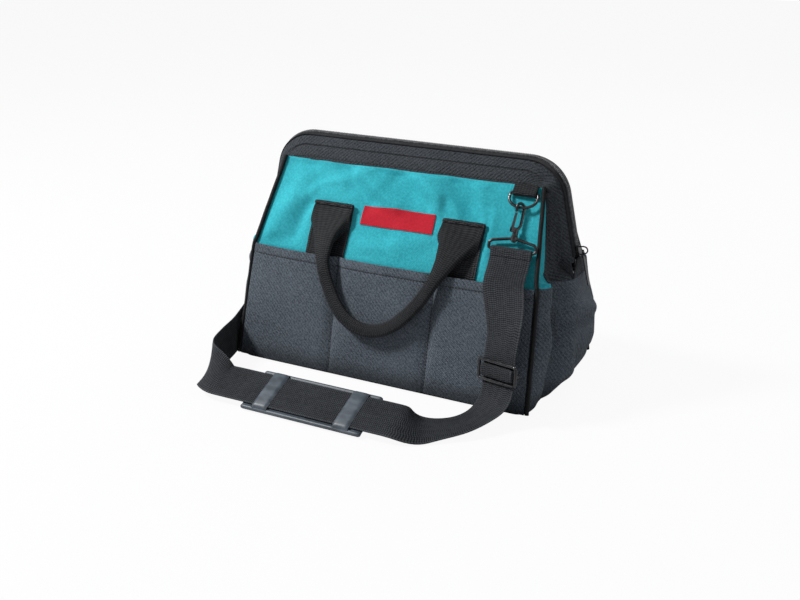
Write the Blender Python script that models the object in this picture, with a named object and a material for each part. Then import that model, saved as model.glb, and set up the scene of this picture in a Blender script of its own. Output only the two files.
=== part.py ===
"""Wide-mouth canvas tool bag with a hinged wire mouth, two webbing handles and a shoulder strap.

Metres, +Z up. X is the long side, the front faces -Y, and the origin is the middle of the base on the
ground. The rear half is the front half turned half round about Z, so the second ring, hook and handle
come from the same functions.
"""
import math

import bmesh
import bpy
from mathutils import Matrix, Vector

# Bag body: height, depth and length where its shape turns
BASE_LENGTH = 0.366
BASE_DEPTH = 0.2085
POCKET_HEIGHT = 0.1355
POCKET_LEVEL_LENGTH = 0.353
POCKET_LEVEL_DEPTH = 0.146
HEM_HEIGHT = 0.232
HEM_LEVEL_LENGTH = 0.324
HEM_LEVEL_DEPTH = 0.046

# Cloth and the clearances between sewn pieces
CANVAS = 0.0016
SEAM_GAP = 0.0003
BASE_CLOTH = 0.003
BOARD_THICKNESS = 0.0026
BOARD_MARGIN = 0.004
BASE_CORNER_RADIUS = 0.014

# Pocket band
POCKET_GAP_TOP = 0.0072
POCKET_GAP_BOTTOM = 0.0012
POCKET_BOW_POWER = 8
POCKET_SEAM = 0.0615
POCKET_SEAM_HALF = 0.0012
POCKET_RIB_CLEARANCE = 0.0004
POCKET_END_RIB = 0.004
POCKET_COLUMN_SHARES = (0.0, 0.17, 0.5, 0.62, 0.8, 0.92)
POCKET_ROW_SHARES = (0.0, 0.35, 0.7, 1.0)

# End gusset: how far it swells and how deep its two folds go
GUSSET_SWELL = 0.038
GUSSET_FOLD = 0.026
GUSSET_FOLD_PLACE_SHARE = 0.62
GUSSET_FOLD_WIDTH_SHARE = 0.13
GUSSET_HEIGHT_SHARES = (0.0, 0.25, 0.62, 1.0)
GUSSET_SWELL_SHARES = (0.10, 0.62, 1.0, 0.70)
GUSSET_ROWS = 9
GUSSET_COLUMN_SHARES = (1.0, 0.97, 0.9, 0.8, 0.71, 0.62, 0.53, 0.42, 0.25, 0.0)

# Piping along the four corners
PIPING_RADIUS = 0.002
PIPING_SIDES = 8
PIPING_ROWS = 7

# Upper cloth: the teal panel wraps round the corner in a strip that widens downward
WRAP_TOP = 0.002
WRAP_BOTTOM = 0.017
STRIP_COLUMNS = 3
THROAT_COLUMNS = 7
THROAT_TOP = 0.2235
HINGE_FADE = 0.0145
FADE_ROW_SHARES = (0.0, 0.38, 0.72, 1.1)
UPPER_ROWS = 5

# Mouth outline in the XZ plane, measured at the outer edge of the hem
MOUTH_TOP = 0.2575
MOUTH_CORNER_RADIUS = 0.045
MOUTH_LEG_FOOT = 0.199
LEG_LEAN = math.radians(12.5)
MOUTH_ARC_STEPS = 7
LEG_STEPS = 4

# Mouth hinge line, through the two rivets
HINGE_HEIGHT = 0.138
EYE_RADIUS = 0.0042
FRONT_EYE_X = 0.1890
REAR_EYE_X = 0.1930

# Hem sleeve: its section as distances inward from the mouth edge and out from the bag's middle
HEM_START = 0.150
HEM_BAND = 0.026
LEG_BAND = 0.0115
HEM_INNER_FACE = 0.0042
HEM_OUTER_FACE = 0.0112
HEM_TAIL_FACE = 0.0226
HEM_TAIL_THICKNESS = 0.0024
HEM_STEP = 0.0098
BORE_DEPTH = 0.0050
BORE_FACE = 0.0079
BORE_RADIUS = 0.0024
BORE_SIDES = 8

# Frame wire
WIRE_RADIUS = 0.0017
WIRE_SIDES = 8
WIRE_BEND_HEIGHT = 0.0125
WIRE_EYE_TURN = math.radians(235)
WIRE_EYE_STEPS = 11

# Zip
TAPE_LIFT = 0.0003
TAPE_THICKNESS = 0.001
TAPE_OUTER = 0.0108
ZIP_HALF_GAP = 0.0008
COIL_LIFT = 0.0016
COIL_HEIGHT = 0.0024
COIL_OUTER = 0.0034
ZIP_START = 0.1562
COIL_START = 0.1676
ZIP_END_LIFT = 0.0023
ZIP_END_THICKNESS = 0.0012
ZIP_END_TOP = 0.1530
ZIP_END_HALF_WIDTH = 0.0200
ZIP_END_TOP_HALF_WIDTH = 0.0060

# Zip slider and pull
SLIDER_START = 0.1546
SLIDER_LENGTH = 0.0115
SLIDER_LIFT = 0.0044
SLIDER_PLATE = 0.0014
SLIDER_HALF_WIDTH = 0.0050
SLIDER_FLANGE_INNER = 0.0038
SLIDER_FLANGE_FOOT = 0.0017
SLIDER_POST_HALF = 0.0004
SLIDER_INNER_TOP = 0.0004
SLIDER_INNER_BOTTOM = 0.0022
SLIDER_INNER_HALF = 0.0034
CROWN_RADIUS = 0.0008
CROWN_REACH = 0.0085
CROWN_HALF_LENGTH = 0.0044
CROWN_STEPS = 10
CROWN_SINK = 0.0006
PULL_OUT = 0.0030
PULL_LENGTH = 0.036
PULL_HALF_WIDTH = 0.0030
PULL_THICKNESS = 0.0012
PULL_EYE_HALF_WIDTH = 0.0017
PULL_EYE_ABOVE = 0.0022
PULL_EYE_BELOW = 0.0024
PULL_RIM = 0.0013
PULL_LEAN = math.radians(14)

# Hinge rivet
RIVET_RADIUS = 0.0019
RIVET_HEAD_RADIUS = 0.0046
RIVET_HEAD = 0.0014
RIVET_INNER_X = 0.1852
RIVET_SHAFT_LENGTH = 0.0092
RIVET_SIDES = 12

# Ring tab and D-ring, placed on the panel by distance down from the hem line
FITTING_X = 0.1435
RING_DROP = 0.0095
RING_OFFSET = 0.0038
RING_WIRE = 0.0016
RING_INNER_HALF = 0.0143
RING_HEIGHT = 0.0168
RING_TILT = math.radians(10.6)
RING_ARC_STEPS = 8
RING_CORNER_SHARE = 0.35
TAB_HALF_WIDTH = 0.0132
TAB_WEB = 0.0014
TAB_CLEARANCE = 0.00035
ROUND_SIDES = 10

# Swivel snap hook, in its own axis: up along the panel, sideways, out
HOOK_OFFSET = 0.0068
HOOK_TURN = math.radians(40)
HOOK_TOP_DROP = 0.0216
HOOK_LENGTH = 0.035
HOOK_WIRE = 0.0017
HOOK_HALF = 0.0045
HOOK_NOSE = 0.0055
BARREL_RADIUS = 0.0031
BARREL_LENGTH = 0.006
STEM_RADIUS = 0.0012
STEM_HEAD_RADIUS = 0.0025
STEM_HEAD = 0.001
ARM_START = 0.0105
GATE_PIVOT_SIDE = 0.0048
GATE_PIVOT_UP = 0.0070
GATE_EYE_RADIUS = 0.0019
GATE_PIN_RADIUS = 0.0008
GATE_CLEARANCE = 0.0004
GATE_HALF_THICKNESS = 0.0009
GATE_HALF_WIDTH = 0.0010
FORK_HALF = 0.0021
FORK_SLOT_HALF = 0.0013
FORK_TOP = 0.0012
FORK_BOTTOM = 0.0022
SOCKET_RADIUS = 0.0040
SOCKET_LENGTH = 0.0062
SOCKET_BORE = 0.0016
SOCKET_GAP = 0.0003
LOOP_WIRE = 0.0017
LOOP_HALF = 0.0252
LOOP_TOP_DROP = 0.0034
LOOP_SHOULDER_DROP = 0.0088
LOOP_BAR_DROP = 0.0172
LOOP_CORNER = 0.0030

# Webbing of the shoulder strap
STRAP_WIDTH = 0.046
STRAP_THICKNESS = 0.0016
STRAP_STEP = 0.011
STRAP_EYE_WEB = 0.0015
STRAP_JOIN = 0.0038

# Tri-glide
GLIDE_HALF_WIDTH = 0.0275
GLIDE_HALF_HEIGHT = 0.0105
GLIDE_WIRE = 0.0018
GLIDE_BAR = 0.0013
GLIDE_BAR_OFFSET = 0.0028
GLIDE_HEIGHT = 0.052
GLIDE_CORNER = 0.003

# Shoulder pad
PAD_LENGTH = 0.148
PAD_WIDTH = 0.058
PAD_PLATE = 0.0030
PAD_RIM_RADIUS = 0.0024
PAD_CENTRE = (-0.022, -0.2060, 0.0140)
PAD_LEAN = math.radians(22)
PAD_BAND_WIDTH = 0.017
PAD_BAND_THICKNESS = 0.0016
PAD_BAND_PLACE = 0.050
PAD_STRAP_LIFT = 0.0032

# Handles
HANDLE_X = 0.082
HANDLE_FOLD_HEIGHT = 0.186
HANDLE_FOLD_OFFSET = 0.0040
HANDLE_TAB_HALF_WIDTH = 0.025
HANDLE_TAB_FOOT = 0.139
HANDLE_REACH = 0.0546
HANDLE_DROP = 0.1240
HANDLE_WEB_WIDTH = 0.050
HANDLE_WEB_THICKNESS = 0.0030
HANDLE_GRIP_WIDTH = 0.018
HANDLE_GRIP_THICKNESS = 0.0094
HANDLE_SIDES = 12
HANDLE_STEP = 0.0154

# Blank woven label
LABEL_HALF_WIDTH = 0.046
LABEL_TOP = 0.191
LABEL_BOTTOM = 0.171
LABEL_THICKNESS = 0.0008

# Route of the strap's middle line: place, then the direction across the web towards its lower edge
STRAP_FRONT_ROUTE = (
    ((0.1435, -0.0838, 0.1390), (1.00, 0.00, 0.00)),
    ((0.1462, -0.0905, 0.1265), (0.99, -0.10, 0.00)),
    ((0.1492, -0.0972, 0.1145), (0.97, -0.22, 0.00)),
    ((0.1518, -0.1035, 0.1035), (0.94, -0.33, 0.00)),
    ((0.1536, -0.1084, 0.0945), (0.91, -0.41, 0.00)),
    ((0.1545, -0.1106, 0.0850), (0.91, -0.42, 0.00)),
    ((0.1553, -0.1137, 0.0670), (0.91, -0.42, 0.00)),
    ((0.1560, -0.1162, 0.0520), (0.91, -0.42, 0.00)),
    ((0.1566, -0.1184, 0.0382), (0.91, -0.42, 0.00)),
    ((0.1562, -0.1222, 0.0265), (0.89, -0.46, 0.03)),
    ((0.1535, -0.1300, 0.0175), (0.86, -0.50, 0.10)),
    ((0.1485, -0.1400, 0.0115), (0.83, -0.53, 0.18)),
    ((0.1420, -0.1520, 0.0085), (0.79, -0.59, 0.16)),
    ((0.1320, -0.1660, 0.0060), (0.73, -0.67, 0.09)),
    ((0.1180, -0.1790, 0.0050), (0.60, -0.79, 0.00)),
    ((0.1050, -0.1915, 0.0070), (0.45, -0.87, -0.14)),
    ((0.0955, -0.2015, 0.0118), (0.20, -0.92, -0.33)),
)
STRAP_REAR_ROUTE = (
    ((-0.1550, -0.2000, 0.0215), (-0.08, -0.76, -0.64)),
    ((-0.1660, -0.1900, 0.0235), (-0.12, -0.42, -0.90)),
    ((-0.1735, -0.1740, 0.0245), (-0.06, -0.10, -0.99)),
    ((-0.1805, -0.1450, 0.0248), (0.00, 0.00, -1.00)),
    ((-0.1890, -0.1100, 0.0248), (0.00, 0.00, -1.00)),
    ((-0.2010, -0.0760, 0.0248), (0.00, 0.00, -1.00)),
    ((-0.2150, -0.0400, 0.0248), (0.00, 0.00, -1.00)),
    ((-0.2245, 0.0000, 0.0248), (0.00, 0.00, -1.00)),
    ((-0.2270, 0.0420, 0.0248), (0.00, 0.00, -1.00)),
    ((-0.2210, 0.0850, 0.0248), (0.00, 0.00, -1.00)),
    ((-0.2050, 0.1200, 0.0250), (0.06, 0.00, -0.99)),
    ((-0.1830, 0.1380, 0.0265), (0.30, 0.06, -0.95)),
    ((-0.1640, 0.1360, 0.0330), (0.72, 0.10, -0.68)),
    ((-0.1540, 0.1220, 0.0480), (0.96, 0.06, -0.25)),
    ((-0.1490, 0.1060, 0.0720), (1.00, 0.00, 0.00)),
    ((-0.1470, 0.0960, 0.1000), (1.00, 0.00, 0.00)),
    ((-0.1450, 0.0881, 0.1230), (1.00, 0.00, 0.00)),
    ((-0.1435, 0.0838, 0.1390), (1.00, 0.00, 0.00)),
)
STRAP_MIDDLE_RIGHT = 0.072
STRAP_MIDDLE_LEFT = -0.118
STRAP_LEAD = 0.012

# Handle loop, right half from the fold down to its lowest point, as shares of its half width, of its
# reach to the front, of its drop, and of the way from flat webbing to the folded grip
HANDLE_ROUTE_SHARES = (
    (1.000, 0.000, 0.000, 0.00),
    (0.994, 0.168, 0.102, 0.04),
    (0.957, 0.470, 0.262, 0.52),
    (0.884, 0.745, 0.471, 0.98),
    (0.744, 0.857, 0.687, 1.00),
    (0.530, 0.954, 0.869, 1.00),
    (0.274, 0.991, 0.967, 1.00),
    (0.000, 1.000, 1.000, 1.00),
)

MATERIALS = {
    "canvas_teal": ((0.030, 0.440, 0.500, 1.0), 0.85, 0.0),
    "canvas_grey": ((0.075, 0.092, 0.115, 1.0), 0.88, 0.0),
    "trim_black": ((0.020, 0.022, 0.026, 1.0), 0.90, 0.0),
    "webbing_black": ((0.016, 0.017, 0.020, 1.0), 0.85, 0.0),
    "piping_black": ((0.014, 0.015, 0.018, 1.0), 0.70, 0.0),
    "zip_coil": ((0.030, 0.032, 0.036, 1.0), 0.45, 0.0),
    "zip_metal": ((0.018, 0.018, 0.020, 1.0), 0.30, 0.8),
    "hardware_black": ((0.015, 0.015, 0.017, 1.0), 0.22, 0.8),
    "frame_steel": ((0.450, 0.450, 0.460, 1.0), 0.40, 1.0),
    "pad_rubber": ((0.090, 0.125, 0.155, 1.0), 0.55, 0.0),
    "board": ((0.060, 0.060, 0.062, 1.0), 0.80, 0.0),
    "label_red": ((0.560, 0.015, 0.035, 1.0), 0.75, 0.0),
}


def clear_scene():
    for item in list(bpy.data.objects):
        bpy.data.objects.remove(item, do_unlink=True)


def material(name):
    found = bpy.data.materials.get(name)
    if found:
        return found
    colour, roughness, metallic = MATERIALS[name]
    made = bpy.data.materials.new(name)
    made.use_nodes = True
    shader = made.node_tree.nodes["Principled BSDF"]
    shader.inputs["Base Color"].default_value = colour
    shader.inputs["Roughness"].default_value = roughness
    shader.inputs["Metallic"].default_value = metallic
    return made


def piece(name, bm, material_name, carrier=None, smooth=True):
    """Make one closed solid from a bmesh and hang it on the empty that stands on its joint's axis."""
    bmesh.ops.recalc_face_normals(bm, faces=bm.faces)
    if bm.calc_volume(signed=True) < 0:
        bmesh.ops.reverse_faces(bm, faces=bm.faces)
    mesh = bpy.data.meshes.new(name)
    bm.to_mesh(mesh)
    bm.free()
    if smooth:
        mesh.shade_smooth()
        mesh.set_sharp_from_angle(angle=math.radians(35))
    made = bpy.data.objects.new(name, mesh)
    bpy.context.scene.collection.objects.link(made)
    made.data.materials.append(material(material_name))
    if carrier:
        made.parent = carrier
        made.matrix_parent_inverse = Matrix.Translation(carrier_place(carrier)).inverted()
    return made


def carrier_place(carrier):
    """World place of an empty whose parents are only moved, never turned."""
    place = carrier.location.copy()
    above = carrier.parent
    while above:
        place += above.location
        above = above.parent
    return place


def joint_empty(name, place, parent=None):
    made = bpy.data.objects.new(name, None)
    made.location = Vector(place) - (carrier_place(parent) if parent else Vector((0, 0, 0)))
    made.parent = parent
    bpy.context.scene.collection.objects.link(made)
    return made


def as_tool(tool):
    """Keep a helper solid out of the model once another solid has taken its shape."""
    tool.hide_render = True
    tool.display_type = "WIRE"


def combine(target, tool, operation):
    modifier = target.modifiers.new(operation.title(), "BOOLEAN")
    modifier.operation = operation
    modifier.solver = "EXACT"
    modifier.object = tool
    as_tool(tool)


def side_turn(side):
    """The front half stays where it is and the rear half is turned half round."""
    return 1.0 if side == "front" else -1.0


def turned(point, side):
    turn = side_turn(side)
    return Vector((turn * point[0], turn * point[1], point[2]))


def skin(rings, closed=False):
    """Closed solid through equal rings of points, capped at both ends unless it runs round."""
    bm = bmesh.new()
    loops = [[bm.verts.new(point) for point in ring] for ring in rings]
    count = len(loops[0])
    pairs = list(zip(loops, loops[1:]))
    if closed:
        pairs.append((loops[-1], loops[0]))
    for first, second in pairs:
        for i in range(count):
            j = (i + 1) % count
            bm.faces.new((first[i], first[j], second[j], second[i]))
    if not closed:
        bm.faces.new(list(reversed(loops[0])))
        bm.faces.new(loops[-1])
    return bm


def hollow_skin(outer_rings, inner_rings):
    """Tube wall between two sets of equal rings, open right through, with flat ends."""
    bm = bmesh.new()
    outer = [[bm.verts.new(point) for point in ring] for ring in outer_rings]
    inner = [[bm.verts.new(point) for point in ring] for ring in inner_rings]
    for loops in (outer, inner):
        count = len(loops[0])
        for first, second in zip(loops, loops[1:]):
            for i in range(count):
                j = (i + 1) % count
                bm.faces.new((first[i], first[j], second[j], second[i]))
    for end in (0, -1):
        edges = []
        for loop in (outer[end], inner[end]):
            count = len(loop)
            edges += [bm.edges.get((loop[i], loop[(i + 1) % count])) for i in range(count)]
        bmesh.ops.triangle_fill(bm, edges=edges, use_beauty=True)
    return bm


def extruded(outline, hole, place, depth):
    """Flat outline, with or without a hole, given thickness; place turns (a, b, c) into a point."""
    bm = bmesh.new()
    loops = []
    for points in ([outline, hole] if hole else [outline]):
        near = [bm.verts.new(place(a, b, -depth)) for a, b in points]
        far = [bm.verts.new(place(a, b, depth)) for a, b in points]
        count = len(points)
        for i in range(count):
            j = (i + 1) % count
            bm.faces.new((near[i], near[j], far[j], far[i]))
        loops.append((near, far))
    for layer in (0, 1):
        edges = []
        for loop in loops:
            ring = loop[layer]
            count = len(ring)
            edges += [bm.edges.get((ring[i], ring[(i + 1) % count])) for i in range(count)]
        bmesh.ops.triangle_fill(bm, edges=edges, use_beauty=True)
    return bm


def arc(centre, radius, start, end, steps):
    """Points on an arc in a plane, both ends included."""
    points = []
    for i in range(steps + 1):
        angle = start + (end - start) * i / steps
        points.append((centre[0] + radius * math.cos(angle), centre[1] + radius * math.sin(angle)))
    return points


def smooth_route(values, step):
    """Even stations on a smooth curve through route points, each a tuple of numbers."""
    ends = [tuple(2 * a - b for a, b in zip(values[0], values[1]))]
    tail = [tuple(2 * a - b for a, b in zip(values[-1], values[-2]))]
    knots = ends + list(values) + tail
    fine = 12
    dense = []
    for i in range(1, len(knots) - 2):
        for k in range(fine):
            t = k / fine
            dense.append(blend_knots(knots[i - 1:i + 3], t))
    dense.append(tuple(values[-1]))
    lengths = [0.0]
    for first, second in zip(dense, dense[1:]):
        lengths.append(lengths[-1] + (Vector(second[:3]) - Vector(first[:3])).length)
    count = max(2, round(lengths[-1] / step))
    stations = []
    index = 0
    for k in range(count + 1):
        target = lengths[-1] * k / count
        while index < len(dense) - 2 and lengths[index + 1] < target:
            index += 1
        span = lengths[index + 1] - lengths[index]
        share = (target - lengths[index]) / span
        stations.append(tuple(a + (b - a) * share for a, b in zip(dense[index], dense[index + 1])))
    return stations


def blend_knots(knots, t):
    """Uniform Catmull-Rom point between the two middle knots."""
    weights = (
        -0.5 * t + t * t - 0.5 * t ** 3,
        1.0 - 2.5 * t * t + 1.5 * t ** 3,
        0.5 * t + 2.0 * t * t - 1.5 * t ** 3,
        -0.5 * t * t + 0.5 * t ** 3,
    )
    return tuple(sum(w * knot[i] for w, knot in zip(weights, knots)) for i in range(len(knots[0])))


def tube(path, radii, sides, closed=False):
    """Round bar along a path, with one radius or one for each point."""
    points = [Vector(point) for point in path]
    count = len(points)
    if not isinstance(radii, (list, tuple)):
        radii = [radii] * count
    tangents = []
    for i in range(count):
        ahead, behind = points[(i + 1) % count] - points[i], points[i] - points[i - 1]
        if not closed and i == 0:
            behind = ahead
        if not closed and i == count - 1:
            ahead = behind
        tangents.append((ahead.normalized() + behind.normalized()).normalized())
    across = tangents[0].orthogonal().normalized()
    frames = []
    for tangent in tangents:
        across = (across - tangent * across.dot(tangent)).normalized()
        frames.append((across.copy(), tangent.cross(across)))
    twist = 0.0
    if closed:
        last = frames[-1][0]
        last = (last - tangents[0] * last.dot(tangents[0])).normalized()
        twist = math.atan2(last.dot(frames[0][1]), last.dot(frames[0][0]))
    rings = []
    for i, (point, (u, v), radius) in enumerate(zip(points, frames, radii)):
        undo = -twist * i / count
        ring = []
        for k in range(sides):
            angle = math.tau * k / sides + undo
            ring.append(point + (u * math.cos(angle) + v * math.sin(angle)) * radius)
        rings.append(ring)
    return skin(rings, closed)


def turned_bar(axis_points, radii, sides):
    """Turned solid along a straight axis; equal places with two radii make a square step."""
    start = Vector(axis_points[0])
    axis = (Vector(axis_points[-1]) - start).normalized()
    u = axis.orthogonal().normalized()
    v = axis.cross(u)
    rings = []
    for point, radius in zip(axis_points, radii):
        ring = []
        for k in range(sides):
            angle = math.tau * k / sides
            ring.append(Vector(point) + (u * math.cos(angle) + v * math.sin(angle)) * radius)
        rings.append(ring)
    return skin(rings)


def cloth(grid, thickness, inward, first=0, last=None, seams=()):
    """Closed thin solid under a grid of outer points, its thickness laid level towards the inside.

    Only the columns from first to last are made. Two columns that face each other across a seam
    lean alike, so that their cut edges stay apart.
    """
    full = len(grid[0])
    rows = len(grid)

    def normal(r, c):
        low, high = c - 1, c + 1
        for seam in seams:
            if c == seam:
                high = c + 2
            if c == seam + 1:
                low = c - 2
        along = grid[r][min(high, full - 1)] - grid[r][max(low, 0)]
        up = grid[min(r + 1, rows - 1)][c] - grid[max(r - 1, 0)][c]
        level = along.cross(up)
        level.z = 0.0
        return level.normalized()
    made = range(full)[first:last]
    columns = len(made)
    facing = math.copysign(thickness, normal(rows // 2, made[columns // 2]).dot(inward))
    bm = bmesh.new()
    outer, inner = [], []
    for r in range(rows):
        outer.append([bm.verts.new(grid[r][c]) for c in made])
        inner.append([bm.verts.new(grid[r][c] + normal(r, c) * facing) for c in made])
    for r in range(rows - 1):
        for c in range(columns - 1):
            for layer in (outer, inner):
                bm.faces.new((layer[r][c], layer[r][c + 1], layer[r + 1][c + 1], layer[r + 1][c]))
    rim = [(r, 0) for r in range(rows)] + [(rows - 1, c) for c in range(1, columns)]
    rim += [(r, columns - 1) for r in range(rows - 2, -1, -1)]
    rim += [(0, c) for c in range(columns - 2, 0, -1)]
    for (r1, c1), (r2, c2) in zip(rim, rim[1:] + rim[:1]):
        bm.faces.new((outer[r1][c1], outer[r2][c2], inner[r2][c2], inner[r1][c1]))
    return bm


def ease(t):
    t = min(max(t, 0.0), 1.0)
    return t * t * (3 - 2 * t)


def mix(a, b, t):
    return a + (b - a) * t


def panel_depth(z):
    """Half depth of the bag's main cloth at a height."""
    if z <= POCKET_HEIGHT:
        return mix(BASE_DEPTH, POCKET_LEVEL_DEPTH, z / POCKET_HEIGHT) / 2
    share = (z - POCKET_HEIGHT) / (HEM_HEIGHT - POCKET_HEIGHT)
    return mix(POCKET_LEVEL_DEPTH, HEM_LEVEL_DEPTH, share) / 2


def panel_half_length(z):
    """Half length of the bag at a height, where the corner piping runs."""
    if z <= POCKET_HEIGHT:
        return mix(BASE_LENGTH, POCKET_LEVEL_LENGTH, z / POCKET_HEIGHT) / 2
    share = (z - POCKET_HEIGHT) / (HEM_HEIGHT - POCKET_HEIGHT)
    return mix(POCKET_LEVEL_LENGTH, HEM_LEVEL_LENGTH, share) / 2


def pocket_gap(x, z):
    """Room inside a pocket: it closes towards the base seam and the bag's corners."""
    share = abs(x) / panel_half_length(z)
    bow = 1 - share ** POCKET_BOW_POWER
    return POCKET_GAP_BOTTOM + (POCKET_GAP_TOP - POCKET_GAP_BOTTOM) * (z / POCKET_HEIGHT) * bow


def swell_share(z):
    """How much of the end's full swell is there at a height."""
    share = min(z / POCKET_HEIGHT, 1.0)
    knots = list(zip(GUSSET_HEIGHT_SHARES, GUSSET_SWELL_SHARES))
    for (low, first), (high, second) in zip(knots, knots[1:]):
        if share <= high:
            return mix(first, second, math.sin((share - low) / (high - low) * math.pi / 2))
    return knots[-1][1]


def gusset_x(y_share, z):
    """How far out the end cloth stands, from its front corner (1) to its middle (0)."""
    swell = GUSSET_SWELL * math.sqrt(max(0.0, 1 - y_share ** 2))
    fold = ((y_share - GUSSET_FOLD_PLACE_SHARE) / GUSSET_FOLD_WIDTH_SHARE) ** 2
    return panel_half_length(z) + swell_share(z) * (swell - GUSSET_FOLD * math.exp(-fold))


def gusset_depth(z):
    """Half depth of the end cloth, which ends behind the front and rear cloth."""
    return panel_depth(z) - CANVAS - SEAM_GAP


def on_panel(x, down, out):
    """Point on the sloping upper panel, by distance down from the hem line and out from the cloth."""
    rise = HEM_HEIGHT - POCKET_HEIGHT
    run = (POCKET_LEVEL_DEPTH - HEM_LEVEL_DEPTH) / 2
    length = math.hypot(rise, run)
    sin_slope, cos_slope = run / length, rise / length
    y = -HEM_LEVEL_DEPTH / 2 - down * sin_slope - out * cos_slope
    z = HEM_HEIGHT - down * cos_slope + out * sin_slope
    return Vector((x, y, z))


def drop_to(z):
    """Distance down the upper panel from the hem line to a height."""
    rise = HEM_HEIGHT - POCKET_HEIGHT
    run = (POCKET_LEVEL_DEPTH - HEM_LEVEL_DEPTH) / 2
    return (HEM_HEIGHT - z) * math.hypot(rise, run) / rise


def leg_x(z):
    """Outer edge of the mouth's leaning leg at a height."""
    return MOUTH_LEG_FOOT - (z - HINGE_HEIGHT) * math.tan(LEG_LEAN)


def mouth_stations(start):
    """Mouth outline from the left leg over the top to the right leg: place and outward direction."""
    centre_z = MOUTH_TOP - MOUTH_CORNER_RADIUS
    centre_x = leg_x(centre_z) - MOUTH_CORNER_RADIUS / math.cos(LEG_LEAN)
    out_leg = (math.cos(LEG_LEAN), math.sin(LEG_LEAN))
    tangent_z = centre_z + MOUTH_CORNER_RADIUS * out_leg[1]
    right = []
    for i in range(LEG_STEPS):
        z = mix(start, tangent_z, i / LEG_STEPS)
        right.append(((leg_x(z), z), out_leg, LEG_LEAN))
    for i in range(MOUTH_ARC_STEPS + 1):
        angle = mix(LEG_LEAN, math.pi / 2, i / MOUTH_ARC_STEPS)
        out = (math.cos(angle), math.sin(angle))
        place = (centre_x + MOUTH_CORNER_RADIUS * out[0], centre_z + MOUTH_CORNER_RADIUS * out[1])
        right.append((place, out, angle))
    right.append(((centre_x / 2, MOUTH_TOP), (0.0, 1.0), math.pi / 2))
    left = [((-p[0], p[1]), (-o[0], o[1]), angle) for p, o, angle in right]
    return left + [((0.0, MOUTH_TOP), (0.0, 1.0), math.pi / 2)] + list(reversed(right))


def mouth_point(station, lift, out):
    """Point beside the mouth outline: lift away from the bag, out towards the front."""
    (x, z), (nx, nz), angle = station
    return (x + lift * nx, -out, z + lift * nz)


def band_width(angle):
    """Hem width: its lower edge runs straight under the top, then keeps narrow down the legs."""
    straight = MOUTH_CORNER_RADIUS - (MOUTH_CORNER_RADIUS - HEM_BAND) / math.sin(angle)
    return max(LEG_BAND, straight)


def leg_tail(z):
    """Inner edge of the hem on the leg and up into the corner's curve at a height, as x."""
    centre_z = MOUTH_TOP - MOUTH_CORNER_RADIUS
    radius = MOUTH_CORNER_RADIUS - LEG_BAND
    if z < centre_z + radius * math.sin(LEG_LEAN):
        return leg_x(z) - LEG_BAND / math.cos(LEG_LEAN)
    centre_x = leg_x(centre_z) - MOUTH_CORNER_RADIUS / math.cos(LEG_LEAN)
    return centre_x + math.sqrt(radius ** 2 - (z - centre_z) ** 2)


def base_pieces():
    corner = BASE_CORNER_RADIUS
    half_x, half_y = BASE_LENGTH / 2 - corner, BASE_DEPTH / 2 - corner
    outline = []
    for cx, cy, start in ((1, 1, 0.0), (-1, 1, 0.5), (-1, -1, 1.0), (1, -1, 1.5)):
        centre = (cx * half_x, cy * half_y)
        outline += arc(centre, corner, start * math.pi, (start + 0.5) * math.pi, 4)
    middle = BASE_CLOTH / 2
    bm = extruded(outline, None, lambda a, b, c: Vector((a, b, middle + c)), BASE_CLOTH / 2)
    piece("base_panel", bm, "canvas_grey", smooth=False)
    shrink_x = 1 - (BOARD_MARGIN + CANVAS) * 2 / BASE_LENGTH
    shrink_y = 1 - (BOARD_MARGIN + CANVAS) * 2 / BASE_DEPTH
    board = [(a * shrink_x, b * shrink_y) for a, b in outline]
    height = BASE_CLOTH + SEAM_GAP + BOARD_THICKNESS / 2
    bm = extruded(board, None, lambda a, b, c: Vector((a, b, height + c)), BOARD_THICKNESS / 2)
    piece("base_board", bm, "board", smooth=False)


def lower_panel(side):
    low, high = BASE_CLOTH + SEAM_GAP, POCKET_HEIGHT - SEAM_GAP
    grid = []
    for z in (low, (low + high) / 2, high):
        half = panel_half_length(z) - SEAM_GAP
        row = [turned((s * half, -panel_depth(z), z), side) for s in (-1.0, -0.5, 0.0, 0.5, 1.0)]
        grid.append(row)
    inward = turned((0, 1, 0), side)
    piece(side + "_lower_panel", cloth(grid, CANVAS, inward), "canvas_grey", smooth=False)


def pocket_band(side):
    """Band of three pockets: one skin in front of the panel, joined to it by a rib at each seam."""
    low, high = BASE_CLOTH + SEAM_GAP, POCKET_HEIGHT
    rings = []
    for share in POCKET_ROW_SHARES:
        z = mix(low, high, share)
        half = panel_half_length(z) - SEAM_GAP
        front_x = sorted({s * half for s in POCKET_COLUMN_SHARES} | {-s * half for s in POCKET_COLUMN_SHARES})
        front_x = [-half] + front_x + [half]
        outer = [(x, -(panel_depth(z) + pocket_gap(x, z) + CANVAS)) for x in front_x]
        inner = []
        rib_face = -(panel_depth(z) + POCKET_RIB_CLEARANCE)
        for seam in (-POCKET_SEAM, POCKET_SEAM):
            for edge, is_rib in ((-1, False), (-1, True), (1, True), (1, False)):
                x = seam + edge * POCKET_SEAM_HALF
                skin_face = -(panel_depth(z) + pocket_gap(x, z))
                inner.append((x, rib_face if is_rib else skin_face))
        ends = half - POCKET_END_RIB
        end_face = -(panel_depth(z) + pocket_gap(ends, z))
        left = [(-half, rib_face), (-ends, rib_face), (-ends, end_face)]
        right = [(ends, end_face), (ends, rib_face), (half, rib_face)]
        fill = [x for x in front_x if abs(x) < ends and abs(abs(x) - POCKET_SEAM) > POCKET_SEAM_HALF]
        inner += [(x, -(panel_depth(z) + pocket_gap(x, z))) for x in fill]
        inner_line = left + sort_inner(inner) + right
        ring = outer + list(reversed(inner_line))
        rings.append([turned((x, y, z), side) for x, y in ring])
    piece(side + "_pocket_band", skin(rings), "canvas_grey", smooth=False)


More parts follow.
